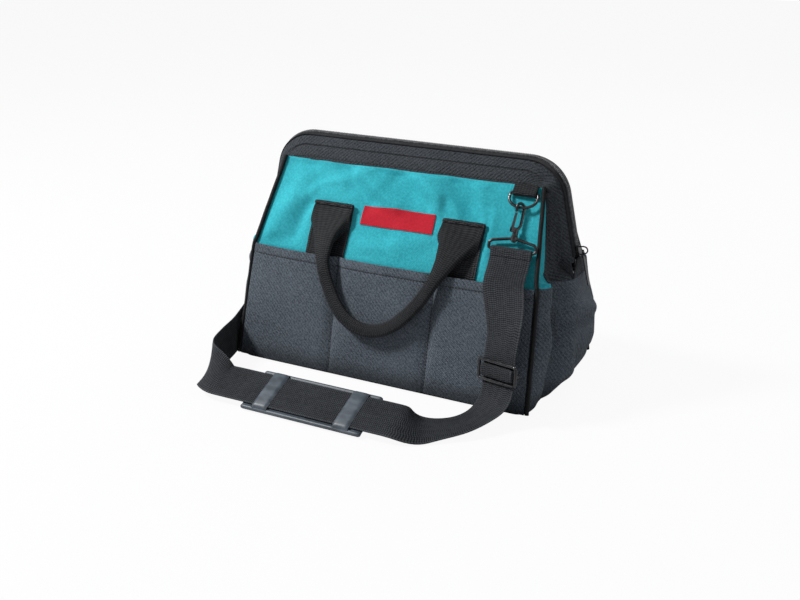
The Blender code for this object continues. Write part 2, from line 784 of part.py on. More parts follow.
def sort_inner(points):
    """Order the inner face from left to right, keeping each rib's own four corners in order."""
    def key(item):
        index, (x, y) = item
        return (round(x, 6), index)
    return [point for index, point in sorted(enumerate(points), key=key)]


def gusset(side, name):
    """Right end of the bag, and the left end turned half round."""
    low, high = BASE_CLOTH + SEAM_GAP, POCKET_HEIGHT - SEAM_GAP
    columns = [-s for s in GUSSET_COLUMN_SHARES] + list(reversed(GUSSET_COLUMN_SHARES[:-1]))
    grid = []
    for r in range(GUSSET_ROWS):
        z = mix(low, high, r / (GUSSET_ROWS - 1))
        row = []
        for share in columns:
            place = (gusset_x(abs(share), z), share * gusset_depth(z), z)
            row.append(turned(place, side))
        grid.append(row)
    piece(name, cloth(grid, CANVAS, turned((-1, 0, 0), side)), "canvas_grey")


def throat_x(y_share, z, straight):
    """End cloth above the gusset: it starts on the gusset's edge and soon runs straight."""
    edge = gusset_x(y_share, POCKET_HEIGHT) + panel_half_length(z) - panel_half_length(POCKET_HEIGHT)
    return mix(edge, straight, ease((z - POCKET_HEIGHT) / HINGE_FADE))


def throat_line(z):
    """Front half of the end cloth at a height, from the corner (0) to the hem's tail (1)."""
    corner_x, corner_y = panel_half_length(z), panel_depth(z)
    tail_x = leg_tail(z) - SEAM_GAP * 2
    tail_y = HEM_TAIL_FACE + CANVAS + SEAM_GAP

    def at(v):
        y = mix(corner_y, tail_y, v)
        straight = mix(corner_x, tail_x, v)
        return Vector((throat_x(y / gusset_depth(POCKET_HEIGHT), z, straight), -y, z))
    return at


def end_line(z):
    """Columns of the end cloth from the corner to the hem's tail: the teal strip, a seam, the throat."""
    line = throat_line(z)
    length = sum((line((k + 1) / 8) - line(k / 8)).length for k in range(8))
    rise = (z - POCKET_HEIGHT) / (HEM_HEIGHT - POCKET_HEIGHT)
    wrap = min(mix(WRAP_BOTTOM, WRAP_TOP, rise) / length, 0.5)
    seam = SEAM_GAP * 3 / length
    shares = [wrap * (k + 1) / STRIP_COLUMNS for k in range(STRIP_COLUMNS)]
    shares += [mix(wrap + seam, 1.0, k / THROAT_COLUMNS) for k in range(THROAT_COLUMNS + 1)]
    return [line(share) for share in shares]


def upper_rows(high):
    low = POCKET_HEIGHT + SEAM_GAP
    rows = [low + HINGE_FADE * share for share in FADE_ROW_SHARES]
    return rows + [mix(rows[-1], high, (r + 1) / UPPER_ROWS) for r in range(UPPER_ROWS)]


def upper_panel(side):
    """Teal cloth from the pocket line to the hem, carried round both corners as a strip."""
    grid = []
    for z in upper_rows(HEM_HEIGHT - SEAM_GAP * 4):
        half = panel_half_length(z)
        middle = [Vector((s * half, -panel_depth(z), z)) for s in (-1.0, -0.5, 0.0, 0.5, 1.0)]
        if z < THROAT_TOP:
            right = end_line(z)[:STRIP_COLUMNS + 2]
        else:
            step = WRAP_TOP / STRIP_COLUMNS
            right = [middle[-1] + Vector((step * (k + 1), 0, 0)) for k in range(STRIP_COLUMNS + 2)]
        left = [Vector((-p.x, p.y, p.z)) for p in reversed(right)]
        grid.append([turned(p, side) for p in left + middle + right])
    inward = turned((0, 1, 0), side)
    bm = cloth(grid, CANVAS, inward, 2, -2, (1, len(grid[0]) - 3))
    piece(side + "_upper_panel", bm, "canvas_teal")


def throat(side, end):
    """Black end cloth between the teal strip and the hem's leg."""
    mirror = 1.0 if (end == "right") == (side == "front") else -1.0
    grid = []
    for z in upper_rows(THROAT_TOP):
        grid.append([turned((mirror * p.x, p.y, p.z), side) for p in end_line(z)])
    inward = turned((-mirror, 0, 0), side)
    bm = cloth(grid, CANVAS, inward, STRIP_COLUMNS, None, (STRIP_COLUMNS - 1,))
    piece("throat_%s_%s" % (side, end), bm, "trim_black")


def corner_piping(side, end, level):
    """Bead along a corner seam, below or above the pocket line."""
    mirror = 1.0 if (end == "right") == (side == "front") else -1.0
    reach = PIPING_RADIUS + SEAM_GAP
    if level == "lower":
        low, high = BASE_CLOTH + PIPING_RADIUS / 2, POCKET_HEIGHT - SEAM_GAP
    else:
        low, high = POCKET_HEIGHT + PIPING_RADIUS, HEM_HEIGHT - PIPING_RADIUS
    path = []
    for r in range(PIPING_ROWS):
        z = mix(low, high, r / (PIPING_ROWS - 1))
        x, y = panel_half_length(z), panel_depth(z)
        if level == "lower":
            place = (mirror * (x + reach), -(y + CANVAS), z)
        else:
            place = (mirror * (x + reach * 0.4), -(y + reach * 1.15), z)
        path.append(turned(place, side))
    name = "piping_%s_%s_%s" % (side, end, level)
    piece(name, tube(path, PIPING_RADIUS, PIPING_SIDES), "piping_black")


def hem_sleeve(side, carrier):
    """Folded hem along the whole mouth, bored for the frame wire."""
    outer_rings, inner_rings = [], []
    for station in mouth_stations(HEM_START):
        width = band_width(station[2])
        slope = (HEM_TAIL_FACE - HEM_OUTER_FACE) / width
        step_face = HEM_OUTER_FACE + slope * HEM_STEP - HEM_TAIL_THICKNESS
        section = (
            (0.0, HEM_INNER_FACE), (0.0, HEM_OUTER_FACE),
            (-width, HEM_TAIL_FACE), (-width, HEM_TAIL_FACE - HEM_TAIL_THICKNESS),
            (-HEM_STEP, step_face), (-HEM_STEP, HEM_INNER_FACE),
        )
        outer_rings.append([turned(mouth_point(station, a, b), side) for a, b in section])
        bore = arc((-BORE_DEPTH, BORE_FACE), BORE_RADIUS, 0, math.tau, BORE_SIDES)[:-1]
        inner_rings.append([turned(mouth_point(station, a, b), side) for a, b in bore])
    bm = hollow_skin(outer_rings, inner_rings)
    piece(side + "_mouth_hem", bm, "trim_black", carrier)


def frame_wire(side, carrier):
    """Steel U in the hem, each end bent into an eye round the hinge rivet."""
    start = HINGE_HEIGHT + WIRE_BEND_HEIGHT
    body = [Vector(mouth_point(s, -BORE_DEPTH, BORE_FACE)) for s in mouth_stations(start)]
    ends = []
    for end in (-1, 1):
        eye_x = end * (FRONT_EYE_X if end > 0 else REAR_EYE_X)
        top_x = end * abs(body[0].x)
        points = []
        for share in (0.33, 0.66):
            y = mix(BORE_FACE, EYE_RADIUS, ease(share))
            points.append(Vector((mix(top_x, eye_x, ease(share)), -y, start - WIRE_BEND_HEIGHT * share)))
        for k in range(WIRE_EYE_STEPS + 1):
            angle = WIRE_EYE_TURN * k / WIRE_EYE_STEPS
            y = -EYE_RADIUS * math.cos(angle)
            z = HINGE_HEIGHT - EYE_RADIUS * math.sin(angle)
            points.append(Vector((eye_x, y, z)))
        ends.append(points)
    path = list(reversed(ends[0])) + body + ends[1]
    bm = tube([turned(p, side) for p in path], WIRE_RADIUS, WIRE_SIDES)
    piece(side + "_frame_wire", bm, "frame_steel", carrier)


def zip_half(side, carrier):
    """One side of the zip: its tape on the hem's edge, and its half of the coil above the parked slider."""
    tape = (
        (TAPE_LIFT, ZIP_HALF_GAP), (TAPE_LIFT, TAPE_OUTER),
        (TAPE_LIFT + TAPE_THICKNESS, TAPE_OUTER), (TAPE_LIFT + TAPE_THICKNESS, ZIP_HALF_GAP),
    )
    rings = [[turned(mouth_point(s, a, b), side) for a, b in tape] for s in mouth_stations(ZIP_START)]
    piece(side + "_zip_tape", skin(rings), "trim_black", carrier)
    chamfer = COIL_HEIGHT / 3
    top = COIL_LIFT + COIL_HEIGHT
    coil = (
        (COIL_LIFT, ZIP_HALF_GAP), (COIL_LIFT, COIL_OUTER - chamfer), (COIL_LIFT + chamfer, COIL_OUTER),
        (top - chamfer, COIL_OUTER), (top, COIL_OUTER - chamfer), (top, ZIP_HALF_GAP),
    )
    rings = [[turned(mouth_point(s, a, b), side) for a, b in coil] for s in mouth_stations(COIL_START)]
    piece(side + "_zip_coil", skin(rings), "zip_coil", carrier)


def zip_end(side, name):
    """Folded cloth tab that closes the zip's end over the hinge."""
    low, high = POCKET_HEIGHT, ZIP_END_TOP
    up = (-math.sin(LEG_LEAN), 0.0, math.cos(LEG_LEAN))
    out = (math.cos(LEG_LEAN), 0.0, math.sin(LEG_LEAN))
    middle = ZIP_END_LIFT + ZIP_END_THICKNESS / 2
    length = (high - low) / math.cos(LEG_LEAN)
    foot = Vector((leg_x(low), 0.0, low)) + Vector(out) * middle
    corner = ZIP_END_TOP_HALF_WIDTH / 2
    outline = [(-ZIP_END_HALF_WIDTH, 0.0), (ZIP_END_HALF_WIDTH, 0.0)]
    outline += [(ZIP_END_HALF_WIDTH, corner), (ZIP_END_TOP_HALF_WIDTH + corner, length - corner)]
    outline += [(ZIP_END_TOP_HALF_WIDTH, length), (-ZIP_END_TOP_HALF_WIDTH, length)]
    outline += [(-ZIP_END_TOP_HALF_WIDTH - corner, length - corner), (-ZIP_END_HALF_WIDTH, corner)]

    def place(a, b, c):
        return turned(foot + Vector(up) * b + Vector(out) * c + Vector((0, a, 0)), side)
    piece(name, extruded(outline, None, place, ZIP_END_THICKNESS / 2), "trim_black", smooth=False)


def hinge_rivet(side, name):
    inner = RIVET_INNER_X
    places = [inner, inner + RIVET_HEAD, inner + RIVET_HEAD]
    shaft_end = inner + RIVET_HEAD + RIVET_SHAFT_LENGTH
    places += [shaft_end, shaft_end, shaft_end + RIVET_HEAD]
    radii = [RIVET_HEAD_RADIUS * 0.8, RIVET_HEAD_RADIUS, RIVET_RADIUS]
    radii += [RIVET_RADIUS, RIVET_HEAD_RADIUS, RIVET_HEAD_RADIUS * 0.8]
    axis = [turned((x, 0.0, HINGE_HEIGHT), side) for x in places]
    piece(name, turned_bar(axis, radii, RIVET_SIDES), "frame_steel")


def slider_frame():
    """Axes of the zip slider on the right leg: up the leg, out of it, and its foot."""
    up = Vector((-math.sin(LEG_LEAN), 0.0, math.cos(LEG_LEAN)))
    out = Vector((math.cos(LEG_LEAN), 0.0, math.sin(LEG_LEAN)))
    foot = Vector((leg_x(SLIDER_START), 0.0, SLIDER_START))
    return foot, up, out


def pull_axis():
    """Where the pull hangs: the lower foot of the crown."""
    foot, up, out = slider_frame()
    low = SLIDER_LENGTH / 2 - CROWN_HALF_LENGTH
    return foot + up * low + out * (SLIDER_LIFT + SLIDER_PLATE + PULL_OUT)


def zip_slider(carrier):
    """Slider with plates above and below the tapes, a post between the coils, and a crown."""
    foot, up, out = slider_frame()
    top = SLIDER_LIFT + SLIDER_PLATE
    half = [
        (SLIDER_POST_HALF, -SLIDER_INNER_TOP), (SLIDER_INNER_HALF, -SLIDER_INNER_TOP),
        (SLIDER_INNER_HALF, -SLIDER_INNER_BOTTOM),
    ]
    outer_half = [
        (SLIDER_HALF_WIDTH, top), (SLIDER_HALF_WIDTH, SLIDER_FLANGE_FOOT),
        (SLIDER_FLANGE_INNER, SLIDER_FLANGE_FOOT), (SLIDER_FLANGE_INNER, SLIDER_LIFT),
        (SLIDER_POST_HALF, SLIDER_LIFT),
    ]
    right = outer_half + half
    outline = right + [(-a, b) for a, b in reversed(right)]
    centre = foot + up * (SLIDER_LENGTH / 2)

    def place(a, b, c):
        return centre + Vector((0, a, 0)) + out * b + up * c
    body = piece("zip_slider", extruded(outline, None, place, SLIDER_LENGTH / 2), "zip_metal", carrier)
    path = []
    for k in range(CROWN_STEPS + 1):
        angle = math.pi * k / CROWN_STEPS
        along = -CROWN_HALF_LENGTH * math.cos(angle)
        rise = CROWN_REACH * math.sin(angle) ** 0.6 if 0 < k < CROWN_STEPS else 0.0
        path.append(centre + up * along + out * (top + rise))
    path[0] -= out * CROWN_SINK
    path[-1] -= out * CROWN_SINK
    crown = piece("zip_crown_tool", tube(path, CROWN_RADIUS, 8), "zip_metal", carrier)
    combine(body, crown, "UNION")


def zip_pull(carrier):
    """Flat tongue with an eye round the crown's foot."""
    axis = pull_axis()
    down = Vector((math.sin(PULL_LEAN), 0.0, -math.cos(PULL_LEAN)))
    out = Vector((math.cos(PULL_LEAN), 0.0, math.sin(PULL_LEAN)))
    top = -(PULL_EYE_ABOVE + PULL_RIM)
    corner = PULL_HALF_WIDTH / 2
    outline = [
        (PULL_HALF_WIDTH, top + corner), (PULL_HALF_WIDTH, PULL_LENGTH - corner),
        (PULL_HALF_WIDTH - corner, PULL_LENGTH), (corner - PULL_HALF_WIDTH, PULL_LENGTH),
        (-PULL_HALF_WIDTH, PULL_LENGTH - corner), (-PULL_HALF_WIDTH, top + corner),
        (corner - PULL_HALF_WIDTH, top), (PULL_HALF_WIDTH - corner, top),
    ]
    hole = [
        (PULL_EYE_HALF_WIDTH, -PULL_EYE_ABOVE), (PULL_EYE_HALF_WIDTH, PULL_EYE_BELOW),
        (-PULL_EYE_HALF_WIDTH, PULL_EYE_BELOW), (-PULL_EYE_HALF_WIDTH, -PULL_EYE_ABOVE),
    ]

    def place(a, b, c):
        return axis + Vector((0, a, 0)) + down * b + out * c
    bm = extruded(outline, hole, place, PULL_THICKNESS / 2)
    piece("zip_pull", bm, "zip_metal", carrier, smooth=False)


def ring_axis():
    return on_panel(FITTING_X, RING_DROP, RING_OFFSET)


def ring_point(across, down):
    """Point on the hanging ring's middle line, by its distance across and down from the straight bar."""
    drop = RING_DROP + down * math.cos(RING_TILT)
    return on_panel(FITTING_X + across, drop, RING_OFFSET + down * math.sin(RING_TILT))


def ring_tab(side, carrier):
    """Webbing folded round the ring's straight bar and sewn in under the hem."""
    clear = RING_WIRE + TAB_CLEARANCE
    outer = clear + TAB_WEB
    roll = arc((0.0, 0.0), outer, math.pi * 0.1, -math.pi * 1.1, 10)
    top = RING_DROP - SEAM_GAP * 3
    shift = -(RING_OFFSET - SEAM_GAP * 2)
    web = [(shift, top), (shift + TAB_WEB * 2, top)]
    right = [(shift + TAB_WEB * 2 + TAB_WEB, outer * 1.4)]
    outline = web + right + roll
    outline = [(a, b) for a, b in outline if a >= shift]
    outline.append((shift, outer * 0.6))
    hole = arc((0.0, 0.0), clear, 0, math.tau, ROUND_SIDES)[:-1]

    def place(a, b, c):
        return turned(on_panel(FITTING_X + c, RING_DROP - b, RING_OFFSET + a), side)
    bm = extruded(outline, hole, place, TAB_HALF_WIDTH)
    piece(side + "_ring_tab", bm, "webbing_black", carrier)


def d_ring(side, carrier):
    """Bent wire ring: a straight bar in the tab and a round bow below."""
    half = RING_INNER_HALF + RING_WIRE
    corner = RING_HEIGHT * RING_CORNER_SHARE
    bow = []
    for k in range(RING_ARC_STEPS * 2 + 1):
        angle = math.pi * k / (RING_ARC_STEPS * 2)
        bow.append((half * math.cos(angle), corner + (RING_HEIGHT - corner) * math.sin(angle)))
    bend = corner / 3
    outline = [(-half + bend, 0.0), (-half / 3, 0.0), (half / 3, 0.0), (half - bend, 0.0)]
    outline += [(half, bend)] + bow + [(-half, bend)]
    path = [turned(ring_point(across, down), side) for across, down in outline]
    bm = tube(path, RING_WIRE, ROUND_SIDES, closed=True)
    piece(side + "_d_ring", bm, "hardware_black", carrier)


def hook_place(side):
    """Point in the hook's own axes: sideways, up from the barrel's foot, out of the hook's plane."""
    foot_drop = HOOK_TOP_DROP + HOOK_LENGTH

    def at(across, up, out=0.0):
        a = across * math.sin(HOOK_TURN) - out * math.cos(HOOK_TURN)
        n = across * math.cos(HOOK_TURN) + out * math.sin(HOOK_TURN)
        return turned(on_panel(FITTING_X - a, foot_drop - up, HOOK_OFFSET + n), side)
    return at


def loop_place(side):
    """The same axes for the loop, which lies flat to the panel."""
    foot_drop = HOOK_TOP_DROP + HOOK_LENGTH

    def at(across, up, out=0.0):
        return turned(on_panel(FITTING_X + across, foot_drop - up, HOOK_OFFSET + out), side)
    return at


def hook_body(side, carrier):
    """Hook on its stem: riveted stem end, barrel, arm bent over to the nose, and the gate's fork."""
    at = hook_place(side)
    stem_foot = -(SOCKET_LENGTH + SOCKET_GAP * 2 + STEM_HEAD)
    profile = [
        (0.0, stem_foot, STEM_HEAD_RADIUS), (0.0, stem_foot + STEM_HEAD, STEM_HEAD_RADIUS),
        (0.0, stem_foot + STEM_HEAD, STEM_RADIUS), (0.0, 0.0, STEM_RADIUS),
        (0.0, 0.0, BARREL_RADIUS), (0.0, BARREL_LENGTH, BARREL_RADIUS),
    ]
    shaft = turned_bar([at(a, b) for a, b, r in profile], [r for a, b, r in profile], ROUND_SIDES)
    body = piece(side + "_hook", shaft, "hardware_black", carrier)
    arc_centre = HOOK_LENGTH - HOOK_HALF
    arm = [(0.0, BARREL_LENGTH * 0.5), (0.0, BARREL_LENGTH), (-HOOK_HALF * 0.7, ARM_START - HOOK_WIRE)]
    arm += [(-HOOK_HALF, ARM_START + HOOK_WIRE), (-HOOK_HALF, mix(ARM_START, arc_centre, 0.5))]
    arm += arc((0.0, arc_centre), HOOK_HALF, math.pi, 0.0, 8)
    arm += [(HOOK_HALF, arc_centre - HOOK_NOSE)]
    radii = [HOOK_WIRE] * (len(arm) - 1) + [HOOK_WIRE * 0.7]
    bar = piece(side + "_hook_arm_tool", tube([at(a, b) for a, b in arm], radii, ROUND_SIDES),
                "hardware_black", carrier)
    combine(body, bar, "UNION")
    side_in = BARREL_RADIUS * 0.3
    side_out = GATE_PIVOT_SIDE + GATE_EYE_RADIUS * 0.8
    low, high = GATE_PIVOT_UP - FORK_BOTTOM - GATE_EYE_RADIUS, GATE_PIVOT_UP + FORK_TOP
    slot_in = GATE_PIVOT_SIDE - GATE_EYE_RADIUS - GATE_CLEARANCE
    plan = [
        (side_in, -FORK_HALF), (side_out, -FORK_HALF), (side_out, -FORK_SLOT_HALF),
        (slot_in, -FORK_SLOT_HALF), (slot_in, FORK_SLOT_HALF), (side_out, FORK_SLOT_HALF),
        (side_out, FORK_HALF), (side_in, FORK_HALF),
    ]
    middle = (low + high) / 2
    fork_mesh = extruded(plan, None, lambda a, b, c: at(a, middle + c, b), (high - low) / 2)
    fork = piece(side + "_hook_fork_tool", fork_mesh, "hardware_black", carrier)
    combine(body, fork, "UNION")
    ends = [at(GATE_PIVOT_SIDE, GATE_PIVOT_UP, s * (FORK_SLOT_HALF + FORK_HALF) / 2) for s in (-1, 1)]
    pin = piece(side + "_hook_pin_tool", turned_bar(ends, [GATE_PIN_RADIUS] * 2, 8), "hardware_black",
                carrier)
    combine(body, pin, "UNION")


def hook_gate(side, carrier):
    """Sprung gate: an eye on the fork's pin and a bar that shuts behind the nose."""
    at = hook_place(side)
    nose_foot = HOOK_LENGTH - HOOK_HALF - HOOK_NOSE
    top = nose_foot - GATE_CLEARANCE * 2
    inner = HOOK_HALF - HOOK_WIRE * 0.4
    eye = arc((GATE_PIVOT_SIDE, GATE_PIVOT_UP), GATE_EYE_RADIUS, math.pi * 0.75, math.pi * 2.25, 9)
    outline = eye + [(inner + GATE_HALF_WIDTH, top), (inner - GATE_HALF_WIDTH, top)]
    clear = GATE_PIN_RADIUS + GATE_CLEARANCE * 0.75
    hole = arc((GATE_PIVOT_SIDE, GATE_PIVOT_UP), clear, 0, math.tau, 8)[:-1]
    bm = extruded(outline, hole, lambda a, b, c: at(a, b, c), GATE_HALF_THICKNESS)
    piece(side + "_hook_gate", bm, "hardware_black", carrier)


def hook_loop(side, carrier):
    """Wire loop that holds the strap, with the socket in which the hook swivels."""
    at = loop_place(side)
    half = LOOP_HALF + LOOP_WIRE
    c = LOOP_CORNER
    right = [
        (0.0, -LOOP_TOP_DROP), (half * 0.5, -mix(LOOP_TOP_DROP, LOOP_SHOULDER_DROP, 0.45)),
        (half - c, -LOOP_SHOULDER_DROP + c * 0.3), (half, -LOOP_SHOULDER_DROP - c * 0.6),
        (half, -LOOP_BAR_DROP + c), (half - c * 0.3, -LOOP_BAR_DROP + c * 0.3),
        (half - c, -LOOP_BAR_DROP), (half * 0.4, -LOOP_BAR_DROP),
    ]
    left = [(-a, b) for a, b in reversed(right[1:])]
    path = [at(a, b) for a, b in right + left]
    body = piece(side + "_hook_loop", tube(path, LOOP_WIRE, ROUND_SIDES, closed=True),
                 "hardware_black", carrier)
    top, foot = -SOCKET_GAP, -SOCKET_GAP - SOCKET_LENGTH
    shoulder = SOCKET_RADIUS * 0.8
    places = [foot, foot + SOCKET_LENGTH * 0.3, top - SOCKET_LENGTH * 0.3, top]
    radii = [shoulder, SOCKET_RADIUS, SOCKET_RADIUS, shoulder]
    mesh = turned_bar([at(0.0, p) for p in places], radii, ROUND_SIDES)
    socket = piece(side + "_socket_tool", mesh, "hardware_black", carrier)
    combine(body, socket, "UNION")
    ends = [at(0.0, foot - SOCKET_GAP), at(0.0, top + SOCKET_GAP)]
    bore = piece(side + "_bore_tool", turned_bar(ends, [SOCKET_BORE] * 2, ROUND_SIDES),
                 "hardware_black", carrier)
    combine(body, bore, "DIFFERENCE")


def strap_eye(side, carrier):
    """End of the strap, folded round the loop's lower bar."""
    at = loop_place(side)
    clear = LOOP_WIRE + TAB_CLEARANCE
    outer = clear + STRAP_EYE_WEB
    foot = -LOOP_BAR_DROP - outer - STRAP_JOIN
    roll = arc((0.0, -LOOP_BAR_DROP), outer, -math.pi * 0.2, math.pi * 1.2, 9)
    outline = roll + [(-STRAP_EYE_WEB, foot), (STRAP_EYE_WEB, foot)]
    hole = arc((0.0, -LOOP_BAR_DROP), clear, 0, math.tau, ROUND_SIDES)[:-1]
    half = STRAP_WIDTH / 2
    bm = extruded(outline, hole, lambda a, b, c: at(c, b, a), half)
    piece(side + "_strap_eye", bm, "webbing_black", carrier)


def strap_stations(route):
    values = [tuple(place) + tuple(across) for place, across in route]
    return smooth_route(values, STRAP_STEP)


def strap_end(side):
    """The strap's single web begins just under the eye round the loop's bar and runs straight at first."""
    outer = LOOP_WIRE + TAB_CLEARANCE + STRAP_EYE_WEB
    foot = LOOP_BAR_DROP + outer + STRAP_JOIN + SEAM_GAP
    at = loop_place(side)
    return [(at(0.0, -foot - STRAP_LEAD * k), Vector((1, 0, 0))) for k in range(2)]


def strap_rings(stations):
    """Flat web along its stations: four corners at each."""
    rings = []
    count = len(stations)
    for i, station in enumerate(stations):
        ahead = Vector(stations[min(i + 1, count - 1)][:3])
        behind = Vector(stations[max(i - 1, 0)][:3])
        along = (ahead - behind).normalized()
        across = Vector(station[3:])
        across = (across - along * across.dot(along)).normalized() * (STRAP_WIDTH / 2)
        through = along.cross(across).normalized() * (STRAP_THICKNESS / 2)
        centre = Vector(station[:3])
        rings.append([centre + across + through, centre - across + through,
                      centre - across - through, centre + across - through])
    return rings


def pad_frame():
    """Axes of the leaning pad: along it, across it towards its lower edge, and out of its face."""
    across = Vector((0.0, -math.cos(PAD_LEAN), -math.sin(PAD_LEAN)))
    out = Vector((0.0, -math.sin(PAD_LEAN), math.cos(PAD_LEAN)))
    return Vector(PAD_CENTRE), across, out


def straps():
    """The strap's three stretches: down the front, straight through the pad, and round to the rear."""
    centre, across, out = pad_frame()
    line = centre + out * PAD_STRAP_LIFT

    def on_line(x):
        return (Vector((x, line.y, line.z)), across)
    right, left = STRAP_MIDDLE_RIGHT, STRAP_MIDDLE_LEFT
    bm = skin(strap_rings(strap_stations((on_line(right), on_line(left)))))
    piece("strap_middle_run", bm, "webbing_black", smooth=False)
    front = strap_end("front") + list(STRAP_FRONT_ROUTE)
    front += [on_line(right + STRAP_LEAD * k + SEAM_GAP) for k in (1, 0)]
    piece("strap_front_run", skin(strap_rings(strap_stations(front))), "webbing_black", smooth=False)
    rear = [on_line(left - STRAP_LEAD * k - SEAM_GAP) for k in (0, 1, 2)] + list(STRAP_REAR_ROUTE)
    rear += reversed(strap_end("rear"))
    piece("strap_rear_run", skin(strap_rings(strap_stations(rear))), "webbing_black", smooth=False)


def glide_axes():
    """Tri-glide axes on the strap's drop: its middle, across the strap, along it and out of its face."""
    stations = strap_stations(STRAP_FRONT_ROUTE)
    above = [s for s in stations if s[2] > GLIDE_HEIGHT][-1]
    below = [s for s in stations if s[2] <= GLIDE_HEIGHT][0]
    along = (Vector(above[:3]) - Vector(below[:3])).normalized()
    across = Vector(above[3:])
    across = (across - along * across.dot(along)).normalized()
    out = along.cross(across) * -1.0
    share = (above[2] - GLIDE_HEIGHT) / (above[2] - below[2])
    middle = Vector(above[:3]).lerp(Vector(below[:3]), share)
    return middle, across, along, out


def strap_glide(carrier):
    """Oblong wire frame round the strap with a bar across its back."""
    middle, across, along, out = glide_axes()
    c = GLIDE_CORNER
    w, h = GLIDE_HALF_WIDTH, GLIDE_HALF_HEIGHT
    outline = []
    for cx, cy, start in ((1, 1, 0.0), (-1, 1, 0.5), (-1, -1, 1.0), (1, -1, 1.5)):
        outline += arc((cx * (w - c), cy * (h - c)), c, start * math.pi, (start + 0.5) * math.pi, 3)
    lift = GLIDE_BAR_OFFSET
    path = [middle + across * a + along * b + out * lift for a, b in outline]
    body = piece("strap_glide", tube(path, GLIDE_WIRE, 8, closed=True), "hardware_black", carrier)
    side_bars = []
    for s in (-1, 1):
        side_bars.append(middle + across * (s * w) + out * lift)
        side_bars.append(middle + across * (s * w) - out * lift)
    behind = [side_bars[0], side_bars[1], side_bars[3], side_bars[2]]
    bar = piece("glide_bar_tool", tube(behind, GLIDE_BAR, 8), "hardware_black", carrier)
    combine(body, bar, "UNION")


def shoulder_pad(carrier):
    """Moulded pad: thin plate with rounded rims along its long edges and two bands over the strap."""
    centre, across, out = pad_frame()
    half = PAD_WIDTH / 2
    plate = PAD_PLATE / 2
    rim = PAD_RIM_RADIUS
    band_low = PAD_STRAP_LIFT + STRAP_THICKNESS
    band_high = band_low + PAD_BAND_THICKNESS
    profile = arc((half - rim, 0.0), rim, -math.pi * 0.8, math.pi * 0.8, 8)
    profile += [(-a, b) for a, b in reversed(profile)]

    def place(a, b, c):
        return centre + across * a + out * b + Vector((c, 0, 0))
    body = piece("shoulder_pad", extruded(profile, None, place, PAD_LENGTH / 2), "pad_rubber", carrier)
    inner = STRAP_WIDTH / 2 + SEAM_GAP * 2
    web = half - rim - inner
    for s in (-1, 1):
        arch = [
            (half - rim, 0.0), (half - rim, band_high - web), (inner, band_high), (-inner, band_high),
            (rim - half, band_high - web), (rim - half, 0.0), (-inner, 0.0),
            (-inner, band_low), (inner, band_low), (inner, 0.0),
        ]

        def band_place(a, b, c, shift=s * PAD_BAND_PLACE):
            return place(a, b, shift + c)
        mesh = extruded(arch, None, band_place, PAD_BAND_WIDTH / 2)
        band = piece("pad_band_tool_%d" % (s + 1), mesh, "pad_rubber", carrier)
        combine(body, band, "UNION")


def handle_tabs(side):
    """Webbing sewn to the upper panel, from the pocket line up to the handle's fold."""
    for end, x in (("left", -HANDLE_X), ("right", HANDLE_X)):
        if side == "rear":
            x = -x
        low, high = drop_to(HANDLE_TAB_FOOT), drop_to(HANDLE_FOLD_HEIGHT)
        near, far = SEAM_GAP, SEAM_GAP + TAB_WEB
        outline = [(low, near), (high, near), (high - TAB_WEB / 2, (near + far) / 2), (high, far), (low, far)]

        def place(a, b, c, middle=x):
            return turned(on_panel(middle + c, a, b), side)
        bm = extruded(outline, None, place, HANDLE_TAB_HALF_WIDTH)
        piece("handle_tab_%s_%s" % (side, end), bm, "webbing_black", smooth=False)


def handle_axis():
    return on_panel(0.0, drop_to(HANDLE_FOLD_HEIGHT), HANDLE_FOLD_OFFSET)


def handle(side, carrier):
    """Webbing loop: flat where it leaves the tabs, folded lengthwise into a narrow grip below."""
    fold = handle_axis()
    right = []
    for across, reach, drop, folded in HANDLE_ROUTE_SHARES:
        width = mix(HANDLE_WEB_WIDTH, HANDLE_GRIP_WIDTH, folded)
        thickness = mix(HANDLE_WEB_THICKNESS, HANDLE_GRIP_THICKNESS, folded)
        place = (HANDLE_X * across, fold.y - HANDLE_REACH * reach, fold.z - HANDLE_DROP * drop)
        right.append(place + (width, thickness))
    left = [(-p[0],) + p[1:] for p in reversed(right[:-1])]
    stations = smooth_route(right + left, HANDLE_STEP)
    count = len(stations)
    rings = []
    for i, station in enumerate(stations):
        ahead = Vector(stations[min(i + 1, count - 1)][:3])
        behind = Vector(stations[max(i - 1, 0)][:3])
        along = (ahead - behind).normalized()
        if i == 0 or i == count - 1:
            along = Vector((0.0, along.y, along.z)).normalized()
        face = Vector((0.0, -1.0, 0.42))
        face = (face - along * face.dot(along)).normalized()
        across = along.cross(face)
        width, thickness = station[3] / 2, station[4] / 2
        ring = []
        for k in range(HANDLE_SIDES):
            angle = math.tau * k / HANDLE_SIDES
            a = math.copysign(abs(math.cos(angle)) ** 0.55, math.cos(angle)) * width
            b = math.copysign(abs(math.sin(angle)) ** 0.8, math.sin(angle)) * thickness
            ring.append(turned(Vector(station[:3]) + across * a + face * b, side))
        rings.append(ring)
    piece(side + "_handle", skin(rings), "webbing_black", carrier)


def label_patch():
    near, far = SEAM_GAP, SEAM_GAP + LABEL_THICKNESS
    low, high = drop_to(LABEL_BOTTOM), drop_to(LABEL_TOP)
    outline = [(low, near), (high, near), (high, far), (low, far)]
    bm = extruded(outline, None, lambda a, b, c: on_panel(c, a, b), LABEL_HALF_WIDTH)
    piece("label_patch", bm, "label_red", smooth=False)


